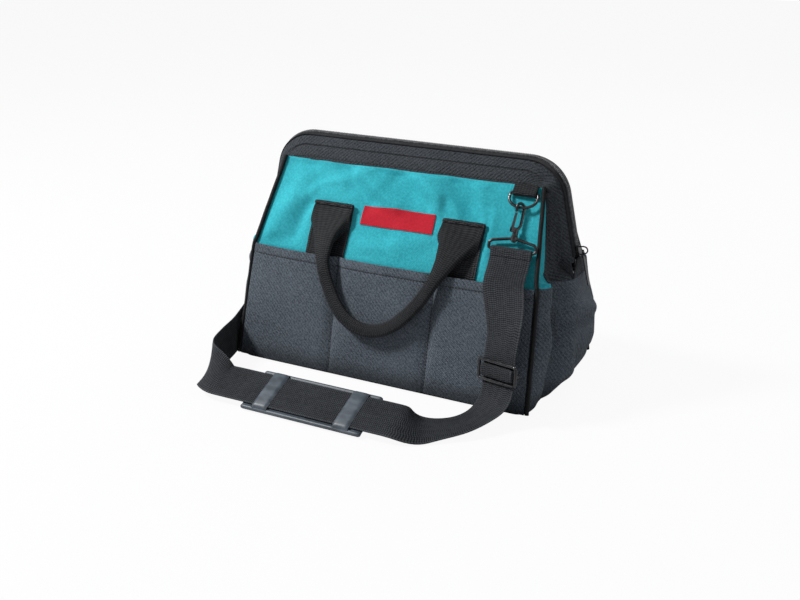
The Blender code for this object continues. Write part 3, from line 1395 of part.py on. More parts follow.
def build():
    clear_scene()
    base_pieces()
    label_patch()
    straps()
    frames = {}
    for side in ("front", "rear"):
        end = "right" if side == "front" else "left"
        lower_panel(side)
        pocket_band(side)
        gusset(side, end + "_gusset")
        upper_panel(side)
        for which in ("left", "right"):
            throat(side, which)
            corner_piping(side, which, "lower")
            corner_piping(side, which, "upper")
        zip_end(side, "zip_end_" + end)
        hinge_rivet(side, "hinge_rivet_" + end)
        frame = joint_empty(side + "_frame_axis", (0.0, 0.0, HINGE_HEIGHT))
        frames[side] = frame
        hem_sleeve(side, frame)
        frame_wire(side, frame)
        zip_half(side, frame)
        ring_tab(side, frame)
        ring = joint_empty(side + "_ring_axis", turned(ring_axis(), side), frame)
        d_ring(side, ring)
        hook_loop(side, ring)
        strap_eye(side, ring)
        hook = joint_empty(side + "_hook_axis", loop_place(side)(0.0, 0.0), ring)
        hook_body(side, hook)
        pivot = hook_place(side)(GATE_PIVOT_SIDE, GATE_PIVOT_UP)
        hook_gate(side, joint_empty(side + "_gate_axis", pivot, hook))
        handle_tabs(side)
        fold = turned(handle_axis(), side)
        handle(side, joint_empty(side + "_handle_axis", fold))
    slider = joint_empty("slider_axis", slider_frame()[0], frames["front"])
    zip_slider(slider)
    zip_pull(joint_empty("pull_axis", pull_axis(), slider))
    strap_glide(joint_empty("glide_axis", glide_axes()[0]))
    shoulder_pad(joint_empty("pad_axis", PAD_CENTRE))


build()
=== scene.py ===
# %% [markdown]
# A wide-mouth canvas tool bag, dressed for a photograph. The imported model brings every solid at
# its true size. This script keeps the hard fittings and gives each cloth piece a fuller form with
# folds, seams and stitching. It then adds the finishes, the lamps and the camera.

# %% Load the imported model
import math

import bmesh
import bpy
from mathutils import Matrix, Vector, noise


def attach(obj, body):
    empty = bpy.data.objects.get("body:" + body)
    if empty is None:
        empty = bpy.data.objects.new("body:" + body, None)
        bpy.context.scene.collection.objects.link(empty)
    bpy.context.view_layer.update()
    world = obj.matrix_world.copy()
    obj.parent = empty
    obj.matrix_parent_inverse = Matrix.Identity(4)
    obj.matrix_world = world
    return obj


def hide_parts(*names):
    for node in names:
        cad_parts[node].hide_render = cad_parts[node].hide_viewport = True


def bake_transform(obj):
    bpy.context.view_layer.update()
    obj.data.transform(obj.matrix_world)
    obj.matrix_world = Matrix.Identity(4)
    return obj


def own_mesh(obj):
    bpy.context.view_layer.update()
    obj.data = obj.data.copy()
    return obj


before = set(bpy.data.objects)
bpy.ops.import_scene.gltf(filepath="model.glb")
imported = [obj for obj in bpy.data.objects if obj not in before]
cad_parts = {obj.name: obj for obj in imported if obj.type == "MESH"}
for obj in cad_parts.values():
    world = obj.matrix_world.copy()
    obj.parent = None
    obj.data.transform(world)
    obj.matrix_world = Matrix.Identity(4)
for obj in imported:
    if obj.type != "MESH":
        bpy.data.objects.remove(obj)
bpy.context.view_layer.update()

print("nodes in the packed model:", len(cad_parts))

# %% [markdown]
# A few helpers save most of the typing below. One puts an object in the scene. Another makes a
# node, gives it its settings and links it, all in one call. A third does arithmetic between
# sockets.

# %% Objects and nodes
def add_object(name, data):
    made = bpy.data.objects.new(name, data)
    bpy.context.scene.collection.objects.link(made)
    return made


def plug(tree, made, inputs):
    """Give each input, by number or name, a value or another node's output."""
    for key, value in inputs.items():
        if isinstance(value, bpy.types.NodeSocket):
            tree.links.new(value, made.inputs[key])
        else:
            made.inputs[key].default_value = value


def node(tree, kind, inputs={}, **settings):
    made = tree.nodes.new(kind)
    for name, value in settings.items():
        setattr(made, name, value)
    plug(tree, made, inputs)
    return made


def calc(tree, operation, *values):
    """One arithmetic node on sockets or numbers."""
    return node(tree, "ShaderNodeMath", dict(enumerate(values)), operation=operation).outputs[0]


def material(name, rough, metal=0.0):
    made = bpy.data.materials.new(name)
    made.use_nodes = True
    tree = made.node_tree
    shader = tree.nodes["Principled BSDF"]
    plug(tree, shader, {"Roughness": rough, "Metallic": metal})
    return made, tree, shader


print("helpers for objects and nodes ready")

# %% [markdown]
# The camera comes first, because everything else is judged through it. It stands to the right of
# the bag and above it, about a metre and a third away, with a lens of nearly 50 mm, so the front
# reads as a broad trapezium and the right end as a narrow one.

# %% Camera
CAMERA_YAW, CAMERA_RISE, CAMERA_ROLL = (math.radians(a) for a in (26.91, 20.07, 0.61))
CAMERA_DISTANCE, CAMERA_TARGET = 1.307, Vector((-0.021, 0.0, 0.065))
FOCAL_PIXELS, PHOTO_PIXELS, SENSOR_WIDTH = 1077.5, 800.0, 36.0


def place_camera():
    back = Vector((math.sin(CAMERA_YAW) * math.cos(CAMERA_RISE),
                   -math.cos(CAMERA_YAW) * math.cos(CAMERA_RISE), math.sin(CAMERA_RISE)))
    level = Vector((math.cos(CAMERA_YAW), math.sin(CAMERA_YAW), 0.0))
    above = back.cross(level)
    right = level * math.cos(CAMERA_ROLL) + above * math.sin(CAMERA_ROLL)
    up = above * math.cos(CAMERA_ROLL) - level * math.sin(CAMERA_ROLL)
    data = bpy.data.cameras.new("camera")
    data.sensor_width = SENSOR_WIDTH
    data.lens = SENSOR_WIDTH * FOCAL_PIXELS / PHOTO_PIXELS
    data.clip_start, data.clip_end = 0.05, 50.0
    camera = add_object("camera", data)
    turn = Matrix((right, up, back)).transposed().to_4x4()
    camera.matrix_world = Matrix.Translation(CAMERA_TARGET + back * CAMERA_DISTANCE) @ turn
    bpy.context.scene.camera = camera
    return camera


camera = place_camera()
bpy.context.scene.view_settings.view_transform = "Standard"
print("camera at", [round(v, 3) for v in camera.location], "lens", round(camera.data.lens, 1))

# %% [markdown]
# The bag stands on a pale floor in even studio light. A big lamp from the upper left shapes the
# cloth, a weaker one from the right opens the end gusset, and a third from behind puts an edge on
# the black trim. Light Path makes the floor and the backdrop white where the camera looks at
# them, so the cloth keeps its own colour.

# %% Floor, backdrop and lamps
FLOOR_HALF, FLOOR_DROP, FLOOR_GLOW, SKY_FILL = 6.0, 0.0004, 0.93, 0.27


def pale_floor():
    mesh = bpy.data.meshes.new("floor")
    corners = [(x * FLOOR_HALF, y * FLOOR_HALF, 0) for x, y in ((-1, -1), (1, -1), (1, 1), (-1, 1))]
    mesh.from_pydata(corners, [], [(0, 1, 2, 3)])
    floor = add_object("floor", mesh)
    floor.location.z = -FLOOR_DROP
    paint, tree, shader = material("pale floor", 0.6)
    plug(tree, shader, {"Base Color": (0.60, 0.60, 0.61, 1)})
    glow, seen = node(tree, "ShaderNodeEmission"), node(tree, "ShaderNodeLightPath")
    share = calc(tree, "MULTIPLY", seen.outputs["Is Camera Ray"], FLOOR_GLOW)
    mixed = node(tree, "ShaderNodeMixShader", {0: share, 1: shader.outputs[0], 2: glow.outputs[0]})
    plug(tree, tree.nodes["Material Output"], {0: mixed.outputs[0]})
    mesh.materials.append(paint)


def white_backdrop():
    world = bpy.data.worlds.new("studio")
    bpy.context.scene.world = world
    world.use_nodes = True
    tree = world.node_tree
    fill = tree.nodes["Background"]
    plug(tree, fill, {0: (0.93, 0.96, 1.0, 1), 1: SKY_FILL})
    white = node(tree, "ShaderNodeBackground", {0: (1, 1, 1, 1), 1: 1.0})
    seen = node(tree, "ShaderNodeLightPath").outputs
    either = calc(tree, "ADD", seen["Is Camera Ray"], seen["Is Transmission Ray"])
    either.node.use_clamp = True
    mixed = node(tree, "ShaderNodeMixShader", {0: either, 1: fill.outputs[0], 2: white.outputs[0]})
    plug(tree, tree.nodes["World Output"], {0: mixed.outputs[0]})


def soft_lamp(name, place, power, size, colour=(1, 1, 1)):
    data = bpy.data.lights.new(name, "AREA")
    data.energy, data.size, data.color = power, size, colour
    lamp = add_object(name, data)
    lamp.location = place
    lamp.rotation_euler = (CAMERA_TARGET - Vector(place)).to_track_quat("-Z", "Y").to_euler()


pale_floor()
white_backdrop()
soft_lamp("key from the upper left", (-1.40, -0.85, 1.75), 66.0, 0.40)
soft_lamp("fill from the right", (1.7, -0.5, 1.0), 3.5, 0.9, (0.95, 0.98, 1.0))
soft_lamp("edge from behind", (0.4, 1.5, 1.5), 14.0, 1.0)

# %% [markdown]
# The bag's main sizes. Each is a height, depth or length where the shape turns, in metres, as on
# a pattern cutter's drawing. The rear half is the front half turned half round about the upright
# axis.

# %% Sizes of the bag
BASE_LENGTH, BASE_DEPTH = 0.366, 0.2085
POCKET_HEIGHT, POCKET_LENGTH, POCKET_DEPTH = 0.1355, 0.353, 0.146
HEM_HEIGHT, HEM_LENGTH, HEM_DEPTH = 0.232, 0.324, 0.046
CANVAS, GAP, BASE_CLOTH = 0.0016, 0.0003, 0.003
POCKET_SEAM, HINGE_HEIGHT = 0.0615, 0.138
PANEL_RISE, PANEL_RUN = HEM_HEIGHT - POCKET_HEIGHT, (POCKET_DEPTH - HEM_DEPTH) / 2
SIDES = ("front", "rear")
ENDS = (("front", "right"), ("rear", "left"))
CORNERS = [(side, end, 1.0 if (side, end) in ENDS else -1.0)
           for side in SIDES for end in ("left", "right")]


def mix(a, b, share):
    return a + (b - a) * share


def spread(count, low=0.0, high=1.0):
    """Even numbers from low to high, in count steps."""
    return [mix(low, high, k / count) for k in range(count + 1)]


def ease(share):
    share = min(max(share, 0.0), 1.0)
    return share * share * (3 - 2 * share)


def bell(distance, width):
    return math.exp(-(distance / width) ** 2)


def turned(point, side):
    turn = 1.0 if side == "front" else -1.0
    return Vector((turn * point[0], turn * point[1], point[2]))


def at_height(z, base, pocket, hem):
    if z <= POCKET_HEIGHT:
        return mix(base, pocket, z / POCKET_HEIGHT) / 2
    return mix(pocket, hem, (z - POCKET_HEIGHT) / PANEL_RISE) / 2


def panel_depth(z):
    """Half depth of the bag's cloth at a height."""
    return at_height(z, BASE_DEPTH, POCKET_DEPTH, HEM_DEPTH)


def panel_half_length(z):
    """Half length of the bag at a height, where the corner piping runs."""
    return at_height(z, BASE_LENGTH, POCKET_LENGTH, HEM_LENGTH)


def dress(piece, body, slot, *replaced):
    """Say which body carries a piece and which solids it stands for. The slot is not used.

    A body that ends in _cloth is the cloth between the still bag and one frame of the mouth: such a
    piece is attached to no body, and its place is baked into its mesh."""
    if body.endswith("_cloth"):
        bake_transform(piece)
    else:
        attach(piece, body)
    if replaced:
        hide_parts(*replaced)


print("half length at the pocket line:", panel_half_length(POCKET_HEIGHT))

# %% [markdown]
# Cloth is drawn as rings of points: a sheet's outer face and, a cloth's thickness behind it, its
# inner face. Every piece gets a UV map in metres, across and along, so that a weave has its real
# pitch everywhere and follows the cloth round its folds. A plane with Solidify would do for flat
# goods, but the hem and the folded handle are closed sections that change on the way. One
# function that skins any rows of rings serves them all.

# %% Skin over rings of points
def distances(points):
    """How far along a line of points each one lies."""
    total = [0.0]
    for first, second in zip(points, points[1:]):
        total.append(total[-1] + (second - first).length)
    return total


def there_and_back(values):
    return list(values) + list(reversed(values))


def strip_places(columns):
    """Places round a flat strip: from -1 to 1 on its outer face, then back on its inner one."""
    across = spread(columns, -1, 1)
    return [(s, 1) for s in across] + [(s, -1) for s in reversed(across)]


def write_outwards(bm, mesh):
    """Write a bmesh into a mesh, with its faces pointing outwards."""
    bmesh.ops.recalc_face_normals(bm, faces=bm.faces)
    if bm.calc_volume(signed=True) < 0:
        bmesh.ops.reverse_faces(bm, faces=bm.faces)
    bm.to_mesh(mesh)
    bm.free()
    mesh.shade_smooth()


def skin(name, rings, finish, across=None, caps="fan", sharp=50):
    """Mesh through equal rings; across is each ring point's own place over the cloth, in metres."""
    count = len(rings[0])
    if across is None:
        middle = rings[len(rings) // 2]
        across = distances(list(middle) + [middle[0]])
    else:
        across = list(across) + [across[0]]
    along = [0.0]
    for first, second in zip(rings, rings[1:]):
        steps = [(second[k] - first[k]).length for k in range(0, count, 3)]
        along.append(along[-1] + sum(steps) / len(steps))
    bm = bmesh.new()
    uv = bm.loops.layers.uv.new("UVMap")
    rows = [[bm.verts.new(point) for point in ring] for ring in rings]

    def face(corners, marks):
        for loop, mark in zip(bm.faces.new(corners).loops, marks):
            loop[uv].uv = mark
    for r in range(len(rows) - 1):
        low, high = along[r:r + 2]
        for k in range(count):
            j = (k + 1) % count
            a, b = across[k:k + 2]
            face((rows[r][k], rows[r][j], rows[r + 1][j], rows[r + 1][k]),
                 ((a, low), (b, low), (b, high), (a, high)))
    for r in (0, len(rows) - 1):
        ring, low = rows[r], along[r]
        if caps == "fan":
            face(ring, [(a, low) for a in across])
        elif caps == "strip":
            for k in range(count // 2 - 1):
                a, b = across[k:k + 2]
                face((ring[k], ring[k + 1], ring[count - 2 - k], ring[count - 1 - k]),
                     ((a, low), (b, low), (b, low + CANVAS), (a, low + CANVAS)))
    mesh = bpy.data.meshes.new(name)
    write_outwards(bm, mesh)
    mesh.set_sharp_from_angle(angle=math.radians(sharp))
    mesh.materials.append(finish)
    return add_object(name, mesh)


def cloth(name, grid, thickness, inward, finish):
    """Closed sheet under a grid of outer points, thickened towards the bag's inside."""
    rows, columns = len(grid), len(grid[0])

    def normal(r, c):
        along = grid[r][min(c + 1, columns - 1)] - grid[r][max(c - 1, 0)]
        up = grid[min(r + 1, rows - 1)][c] - grid[max(r - 1, 0)][c]
        return along.cross(up).normalized()
    facing = math.copysign(thickness, normal(rows // 2, columns // 2).dot(Vector(inward)))
    rings = []
    for r in range(rows):
        inner = [grid[r][c] + normal(r, c) * facing for c in range(columns)]
        rings.append(list(grid[r]) + list(reversed(inner)))
    return skin(name, rings, finish, there_and_back(distances(grid[rows // 2])), caps="strip")


def remap_uv(piece, change):
    for loop in piece.data.uv_layers[0].data:
        loop.uv = change(*loop.uv)


def tube_rings(path, radius, sides, closed=False):
    """Rings of a round bar along a path, turning as little as they can."""
    points = [Vector(p) for p in path]
    count = len(points)
    tangents = []
    for i in range(count):
        ahead, behind = points[(i + 1) % count] - points[i], points[i] - points[i - 1]
        if not closed and i == 0:
            behind = ahead
        if not closed and i == count - 1:
            ahead = behind
        tangents.append((ahead.normalized() + behind.normalized()).normalized())
    across = tangents[0].orthogonal().normalized()
    frames = []
    for tangent in tangents:
        across = (across - tangent * across.dot(tangent)).normalized()
        frames.append((across.copy(), tangent.cross(across)))
    twist = 0.0
    if closed:
        last = frames[-1][0]
        last = (last - tangents[0] * last.dot(tangents[0])).normalized()
        twist = math.atan2(last.dot(frames[0][1]), last.dot(frames[0][0]))
    rings = []
    for i, (point, (u, v)) in enumerate(zip(points, frames)):
        angles = [math.tau * k / sides - twist * i / count for k in range(sides)]
        rings.append([point + (u * math.cos(a) + v * math.sin(a)) * radius for a in angles])
    return rings


def curve_weights(t):
    """Shares of four knots in a smooth curve between the middle two."""
    return (-0.5 * t + t * t - 0.5 * t ** 3, 1 - 2.5 * t * t + 1.5 * t ** 3,
            0.5 * t + 2 * t * t - 1.5 * t ** 3, -0.5 * t * t + 0.5 * t ** 3)


def smooth_line(knots, step):
    """Even stations on a smooth curve through knots, each a tuple that starts with a place."""
    before = tuple(2 * a - b for a, b in zip(knots[0], knots[1]))
    after = tuple(2 * a - b for a, b in zip(knots[-1], knots[-2]))
    knots = [before] + [tuple(k) for k in knots] + [after]
    dense, fine = [], 16
    for i in range(1, len(knots) - 2):
        for k in range(fine):
            weights, four = curve_weights(k / fine), knots[i - 1:i + 3]
            columns = zip(*four)
            dense.append(tuple(sum(w * v for w, v in zip(weights, values)) for values in columns))
    dense.append(knots[-2])
    lengths = distances([Vector(s[:3]) for s in dense])
    count = max(2, round(lengths[-1] / step))
    stations, index = [], 0
    for k in range(count + 1):
        target = lengths[-1] * k / count
        while index < len(dense) - 2 and lengths[index + 1] < target:
            index += 1
        share = (target - lengths[index]) / max(lengths[index + 1] - lengths[index], 1e-9)
        stations.append(tuple(mix(a, b, share) for a, b in zip(dense[index], dense[index + 1])))
    return stations


def noise_at(x, y, z, scale, seed=0.0):
    """Smooth number from -1 to 1 that is the same on every run."""
    return noise.noise(Vector((x / scale + seed, y / scale - seed, z / scale + 0.37 * seed)))


def ridge(a, b, start, end, width, height):
    """A soft fold along a line on the cloth, raised by height, or sunk if it is negative."""
    ax, bx = end[0] - start[0], end[1] - start[1]
    share = ((a - start[0]) * ax + (b - start[1]) * bx) / (ax * ax + bx * bx)
    share = min(max(share, 0.0), 1.0)
    da, db = a - start[0] - share * ax, b - start[1] - share * bx
    fade = 1 - 0.35 * abs(2 * share - 1)
    return height * fade * math.exp(-(da * da + db * db) / (width * width))


print("helpers for shapes ready")

# %% [markdown]
# Woven cloth is warp over weft. The pattern multiplies two sine waves of the real thread pitch
# and adds a slanted one for the twill, and the result feeds both a bump and a slight change of
# colour. Slow noise adds the uneven fading of dyed cloth, fine noise its broken fibres, and a
# little sheen their pale bloom. A picture of cloth could show the same, but a pattern made of
# numbers stays sharp close up and takes its pitch from the real thread.

# %% Finish for woven cloth
def cloth_places(tree):
    """Object place, then the places across and along the cloth that its UV map gives."""
    where = node(tree, "ShaderNodeTexCoord")
    split = node(tree, "ShaderNodeSeparateXYZ", {0: where.outputs["UV"]})
    return where.outputs["Object"], split.outputs[0], split.outputs[1]


def wave(tree, place, turns):
    return calc(tree, "SINE", calc(tree, "MULTIPLY", place, turns))


def spots(tree, place, scale, detail=2.0):
    inputs = {"Vector": place, "Scale": scale, "Detail": detail}
    return node(tree, "ShaderNodeTexNoise", inputs).outputs[0]


def remap(tree, value, low, high):
    inputs = {"Value": value, "From Min": low, "From Max": high}
    return node(tree, "ShaderNodeMapRange", inputs).outputs[0]


def tint(tree, share, dark, light):
    inputs = {0: share, 6: (*dark, 1), 7: (*light, 1)}
    return node(tree, "ShaderNodeMix", inputs, data_type="RGBA").outputs[2]


def bump(tree, height, distance, strength):
    inputs = {"Height": height, "Distance": distance, "Strength": strength}
    return node(tree, "ShaderNodeBump", inputs).outputs[0]


def woven(name, dark, light, pitch, relief, rough=0.85, sheen=0.25, twill=0.0, mottle=0.25,
          threads=0.35, specks=0.5, foot=0.0, grain=430.0):
    """Canvas or tape: dark and light are the ends of its colour, pitch the distance of its threads.

    Specks is the share of pale fibres, foot how much darker the cloth is painted near the floor, as
    painted shade."""
    made, tree, shader = material(name, rough)
    place, across, along = cloth_places(tree)
    turns = math.tau / pitch
    over = calc(tree, "MULTIPLY", wave(tree, across, turns), wave(tree, along, turns))
    slant = wave(tree, calc(tree, "ADD", across, along), turns / 2.3)
    pattern = calc(tree, "ADD", over, calc(tree, "MULTIPLY", slant, twill))
    height = calc(tree, "MULTIPLY_ADD", pattern, 0.5, 0.5)
    faded = calc(tree, "MULTIPLY", spots(tree, place, 14.0, 3.0), mottle * 2)
    pale = remap(tree, spots(tree, place, grain, 1.0), 0.36, 0.68)
    speck = calc(tree, "MULTIPLY", pale, specks)
    total = calc(tree, "ADD", calc(tree, "MULTIPLY", height, threads), faded)
    share = remap(tree, calc(tree, "ADD", total, speck), 0.35 * mottle + 0.1 * threads,
                  0.80 * threads + 1.35 * mottle + 0.85 * specks)
    colour = tint(tree, share, dark, light)
    # Painted shade: the colour darkens over the lowest 30 mm by the share foot, standing in for the
    # shade where the bag meets the floor.
    if foot:
        above = node(tree, "ShaderNodeSeparateXYZ", {0: place}).outputs[2]
        rise = node(tree, "ShaderNodeMapRange",
                    {"Value": above, "From Max": 0.030, "To Min": 1.0 - foot},
                    interpolation_type="SMOOTHSTEP")
        colour = node(tree, "ShaderNodeVectorMath", {0: colour, "Scale": rise.outputs[0]},
                      operation="SCALE").outputs[0]
    plug(tree, shader, {"Base Color": colour, "Sheen Weight": sheen, "Sheen Roughness": 0.45,
                        "Normal": bump(tree, calc(tree, "ADD", height, speck), relief, 0.8),
                        "Specular IOR Level": 0.18})
    return made


teal_canvas = woven("teal canvas", (0.006, 0.245, 0.300), (0.046, 0.485, 0.565), 0.0010, 0.0003,
                    0.70, 0.03, 0.5, 0.35, 0.30, 0.30)
# The grey canvas carries painted shade: its 0.75 darkens it towards the floor.
grey_canvas = woven("grey canvas", (0.012, 0.016, 0.021), (0.130, 0.155, 0.186), 0.0021, 0.0007,
                    0.80, 0.05, 0.45, 0.22, 0.50, 0.55, 0.75, 620.0)
black_trim = woven("black trim cloth", (0.003, 0.0036, 0.0045), (0.064, 0.072, 0.082), 0.0021,
                   0.0006, 0.85, 0.03, 0.6, 0.18, 0.60, 0.60, 0.0, 700.0)
black_tape = woven("black zip tape", (0.003, 0.003, 0.004), (0.018, 0.019, 0.021), 0.0011, 0.0003,
                   0.85, 0.06)
cord_cover = woven("bound piping", (0.0015, 0.0015, 0.002), (0.009, 0.009, 0.010), 0.0013, 0.0003,
                   0.50, 0.04, 0.8)
red_weave = woven("red woven label", (0.360, 0.003, 0.012), (0.560, 0.010, 0.030), 0.0008, 0.0002,
                  0.70, 0.1, 0.2, 0.15, 0.35, 0.2)
print("woven finishes: six")

# %% [markdown]
# Webbing is woven thick and narrow. It shows fine ribs along its length, tighter ribs across, and
# a smoother selvedge at each edge, which is where it wears pale first. Waves on the UV map keep
# the ribs straight through every bend, which a pattern in space would not.

# %% Finish for webbing
def webbing(name, dark, light, rib, cross, half_width, rib_share, row_share):
    made, tree, shader = material(name, 0.62)
    place, across, along = cloth_places(tree)
    zigzag = calc(tree, "MULTIPLY", calc(tree, "PINGPONG", across, rib * 2), 0.22)
    ribs = wave(tree, across, math.tau / rib)
    rows = wave(tree, calc(tree, "ADD", along, zigzag), math.tau / cross)
    height = calc(tree, "ADD", calc(tree, "MULTIPLY", ribs, rib_share),
                  calc(tree, "MULTIPLY", rows, row_share))
    height = calc(tree, "ADD", height, 0.5)
    selvedge = remap(tree, calc(tree, "ABSOLUTE", across), half_width - 0.0026, half_width - 0.0012)
    share = calc(tree, "MULTIPLY", height, 0.55)
    for source, part in ((spots(tree, place, 260.0, 3.0), 0.45), (spots(tree, place, 22.0), 0.35),
                         (selvedge, 0.18)):
        share = calc(tree, "ADD", share, calc(tree, "MULTIPLY", source, part))
    plug(tree, shader, {"Base Color": tint(tree, remap(tree, share, 0.38, 1.15), dark, light),
                        "Normal": bump(tree, height, 0.0006, 0.9), "Specular IOR Level": 0.16,
                        "Sheen Weight": 0.04, "Sheen Roughness": 0.4})
    return made


strap_web = webbing("strap webbing", (0.0015, 0.0018, 0.0025), (0.048, 0.053, 0.061), 0.0026,
                    0.0021, 0.023, 0.20, 0.34)
handle_web = webbing("handle webbing", (0.0012, 0.0013, 0.0016), (0.034, 0.036, 0.040), 0.0034,
                     0.0024, 0.025, 0.14, 0.42)
print("webbing finishes: two")

# %% [markdown]
# The hard pieces are black-enamelled fittings, a drawn steel wire and a moulded rubber pad.
# Enamel is glossy with tiny pits and rubbed spots, steel is bright, and rubber is satin with a
# dusty bloom, so each finish gets its own noise for colour, roughness and relief.

# %% Finishes for fittings, steel, rubber and thread
def hard_finish(name, dark, light, rough, metal, grain, relief=0.0001, coat=0.0, stretch=(1, 1, 1)):
    made, tree, shader = material(name, rough, metal)
    where = node(tree, "ShaderNodeTexCoord").outputs["Object"]
    stretched = node(tree, "ShaderNodeMapping", {"Vector": where, "Scale": stretch}).outputs[0]
    pits = spots(tree, stretched, grain, 5.0)
    dull = node(tree, "ShaderNodeMapRange", {"Value": pits, "To Min": rough * 0.75,
                                             "To Max": min(rough * 1.45, 1.0)})
    plug(tree, shader, {"Base Color": tint(tree, remap(tree, pits, 0.40, 0.72), dark, light),
                        "Roughness": dull.outputs[0], "Normal": bump(tree, pits, relief, 0.5),
                        "Coat Weight": coat})
    return made


black_enamel = hard_finish("black enamel", (0.004, 0.004, 0.005), (0.018, 0.018, 0.020), 0.24, 0.0,
                           180.0, coat=0.25)
black_zip = hard_finish("black zip metal", (0.005, 0.005, 0.006), (0.024, 0.024, 0.026), 0.24, 0.4,
                        260.0, coat=0.2)
steel_wire = hard_finish("drawn steel", (0.32, 0.32, 0.33), (0.52, 0.52, 0.53), 0.36, 1.0, 300.0)
pad_rubber = hard_finish("moulded rubber", (0.040, 0.052, 0.064), (0.082, 0.100, 0.120), 0.42, 0.0,
                         55.0, 0.0003, 0.0, (1, 2, 2))
nylon_coil = hard_finish("nylon coil", (0.050, 0.052, 0.055), (0.170, 0.175, 0.182), 0.34, 0.0,
                         400.0)
stiff_board = hard_finish("stiffener board", (0.045, 0.045, 0.047), (0.075, 0.075, 0.078), 0.75,
                          0.0, 90.0, 0.0002)
dark_thread = hard_finish("dark thread", (0.002, 0.002, 0.003), (0.008, 0.009, 0.010), 0.60, 0.0,
                          900.0)
red_thread = hard_finish("red thread", (0.330, 0.006, 0.016), (0.520, 0.012, 0.030), 0.60, 0.0,
                         900.0)
print("hard finishes: eight")

# %% [markdown]
# The shoulder strap is one length of webbing, 46 mm wide, that goes from the front hook down to
# the floor, lies in a flat curve, passes through the pad, rounds the left end of the bag on its
# edge and climbs to the rear hook. Its middle line is a table of places with the direction across
# the web at each, because a flat strap is known only when both are. It is modelled directly, to
# keep its thin edges.

# %% The strap's route
STRAP_WIDTH, STRAP_THICKNESS, STRAP_LEAD = 0.046, 0.0016, 0.012
FITTING_X, HOOK_OFFSET, HOOK_FOOT_DROP = 0.1435, 0.0068, 0.0566
LOOP_BAR_DROP, LOOP_WIRE, BAR_CLEARANCE = 0.0172, 0.0017, 0.00035
EYE_FOOT = LOOP_BAR_DROP + LOOP_WIRE + BAR_CLEARANCE + 0.0015 + 0.0038
PAD_CENTRE, PAD_LEAN = Vector((-0.022, -0.2060, 0.0140)), math.radians(22)
PAD_LENGTH, PAD_WIDTH, PAD_STRAP_LIFT = 0.148, 0.058, 0.0032
STRAP_RIGHT, STRAP_LEFT, STATION_STEP = 0.072, -0.118, 0.0036
STRAP_FRONT = (
    (0.1435, -0.0838, 0.1390, 1.00, 0.00, 0.00),
    (0.1480, -0.0905, 0.1265, 0.99, -0.10, 0.00),
    (0.1520, -0.0972, 0.1145, 0.97, -0.22, 0.00),
    (0.1550, -0.1035, 0.1035, 0.94, -0.33, 0.00),
    (0.1564, -0.1084, 0.0945, 0.91, -0.41, 0.00),
    (0.1560, -0.1106, 0.0850, 0.91, -0.42, 0.00),
    (0.1553, -0.1137, 0.0670, 0.91, -0.42, 0.00),
    (0.1560, -0.1162, 0.0520, 0.91, -0.42, 0.00),
    (0.1566, -0.1184, 0.0382, 0.91, -0.42, 0.00),
    (0.1562, -0.1222, 0.0265, 0.89, -0.46, 0.03),
    (0.1535, -0.1300, 0.0175, 0.86, -0.50, 0.10),
    (0.1485, -0.1400, 0.0115, 0.83, -0.53, 0.18),
    (0.1420, -0.1520, 0.0085, 0.79, -0.59, 0.16),
    (0.1320, -0.1660, 0.0060, 0.73, -0.67, 0.09),
    (0.1180, -0.1790, 0.0050, 0.60, -0.79, 0.00),
    (0.1050, -0.1915, 0.0070, 0.45, -0.87, -0.14),
    (0.0955, -0.2015, 0.0118, 0.20, -0.92, -0.33),
)
STRAP_REAR = (
    (-0.1550, -0.2000, 0.0215, -0.08, -0.76, -0.64),
    (-0.1660, -0.1900, 0.0235, -0.12, -0.42, -0.90),
    (-0.1735, -0.1740, 0.0245, -0.06, -0.10, -0.99),
    (-0.1805, -0.1450, 0.0248, 0.00, 0.00, -1.00),
    (-0.1890, -0.1100, 0.0248, 0.00, 0.00, -1.00),
    (-0.2010, -0.0760, 0.0248, 0.00, 0.00, -1.00),
    (-0.2150, -0.0400, 0.0248, 0.00, 0.00, -1.00),
    (-0.2245, 0.0000, 0.0248, 0.00, 0.00, -1.00),
    (-0.2270, 0.0420, 0.0248, 0.00, 0.00, -1.00),
    (-0.2210, 0.0850, 0.0248, 0.00, 0.00, -1.00),
    (-0.2050, 0.1200, 0.0250, 0.06, 0.00, -0.99),
    (-0.1830, 0.1380, 0.0265, 0.30, 0.06, -0.95),
    (-0.1640, 0.1360, 0.0330, 0.72, 0.10, -0.68),
    (-0.1540, 0.1220, 0.0480, 0.96, 0.06, -0.25),
    (-0.1490, 0.1060, 0.0720, 1.00, 0.00, 0.00),
    (-0.1470, 0.0960, 0.1000, 1.00, 0.00, 0.00),
    (-0.1450, 0.0881, 0.1230, 1.00, 0.00, 0.00),
    (-0.1435, 0.0838, 0.1390, 1.00, 0.00, 0.00),
)
SLOPE_LENGTH = math.hypot(PANEL_RISE, PANEL_RUN)


def on_panel(x, down, out):
    """Point on the sloping upper panel, by distance down from the hem and out from the cloth."""
    sin_slope, cos_slope = PANEL_RUN / SLOPE_LENGTH, PANEL_RISE / SLOPE_LENGTH
    y = -HEM_DEPTH / 2 - down * sin_slope - out * cos_slope
    return Vector((x, y, HEM_HEIGHT - down * cos_slope + out * sin_slope))


def loop_point(side, across, up, out=0.0):
    """Point in the axes of the strap's wire loop, which lies flat to the panel."""
    return turned(on_panel(FITTING_X + across, HOOK_FOOT_DROP - up, HOOK_OFFSET + out), side)


pad_across = Vector((0.0, -math.cos(PAD_LEAN), -math.sin(PAD_LEAN)))
pad_out = Vector((0.0, -math.sin(PAD_LEAN), math.cos(PAD_LEAN)))
pad_line = PAD_CENTRE + pad_out * PAD_STRAP_LIFT


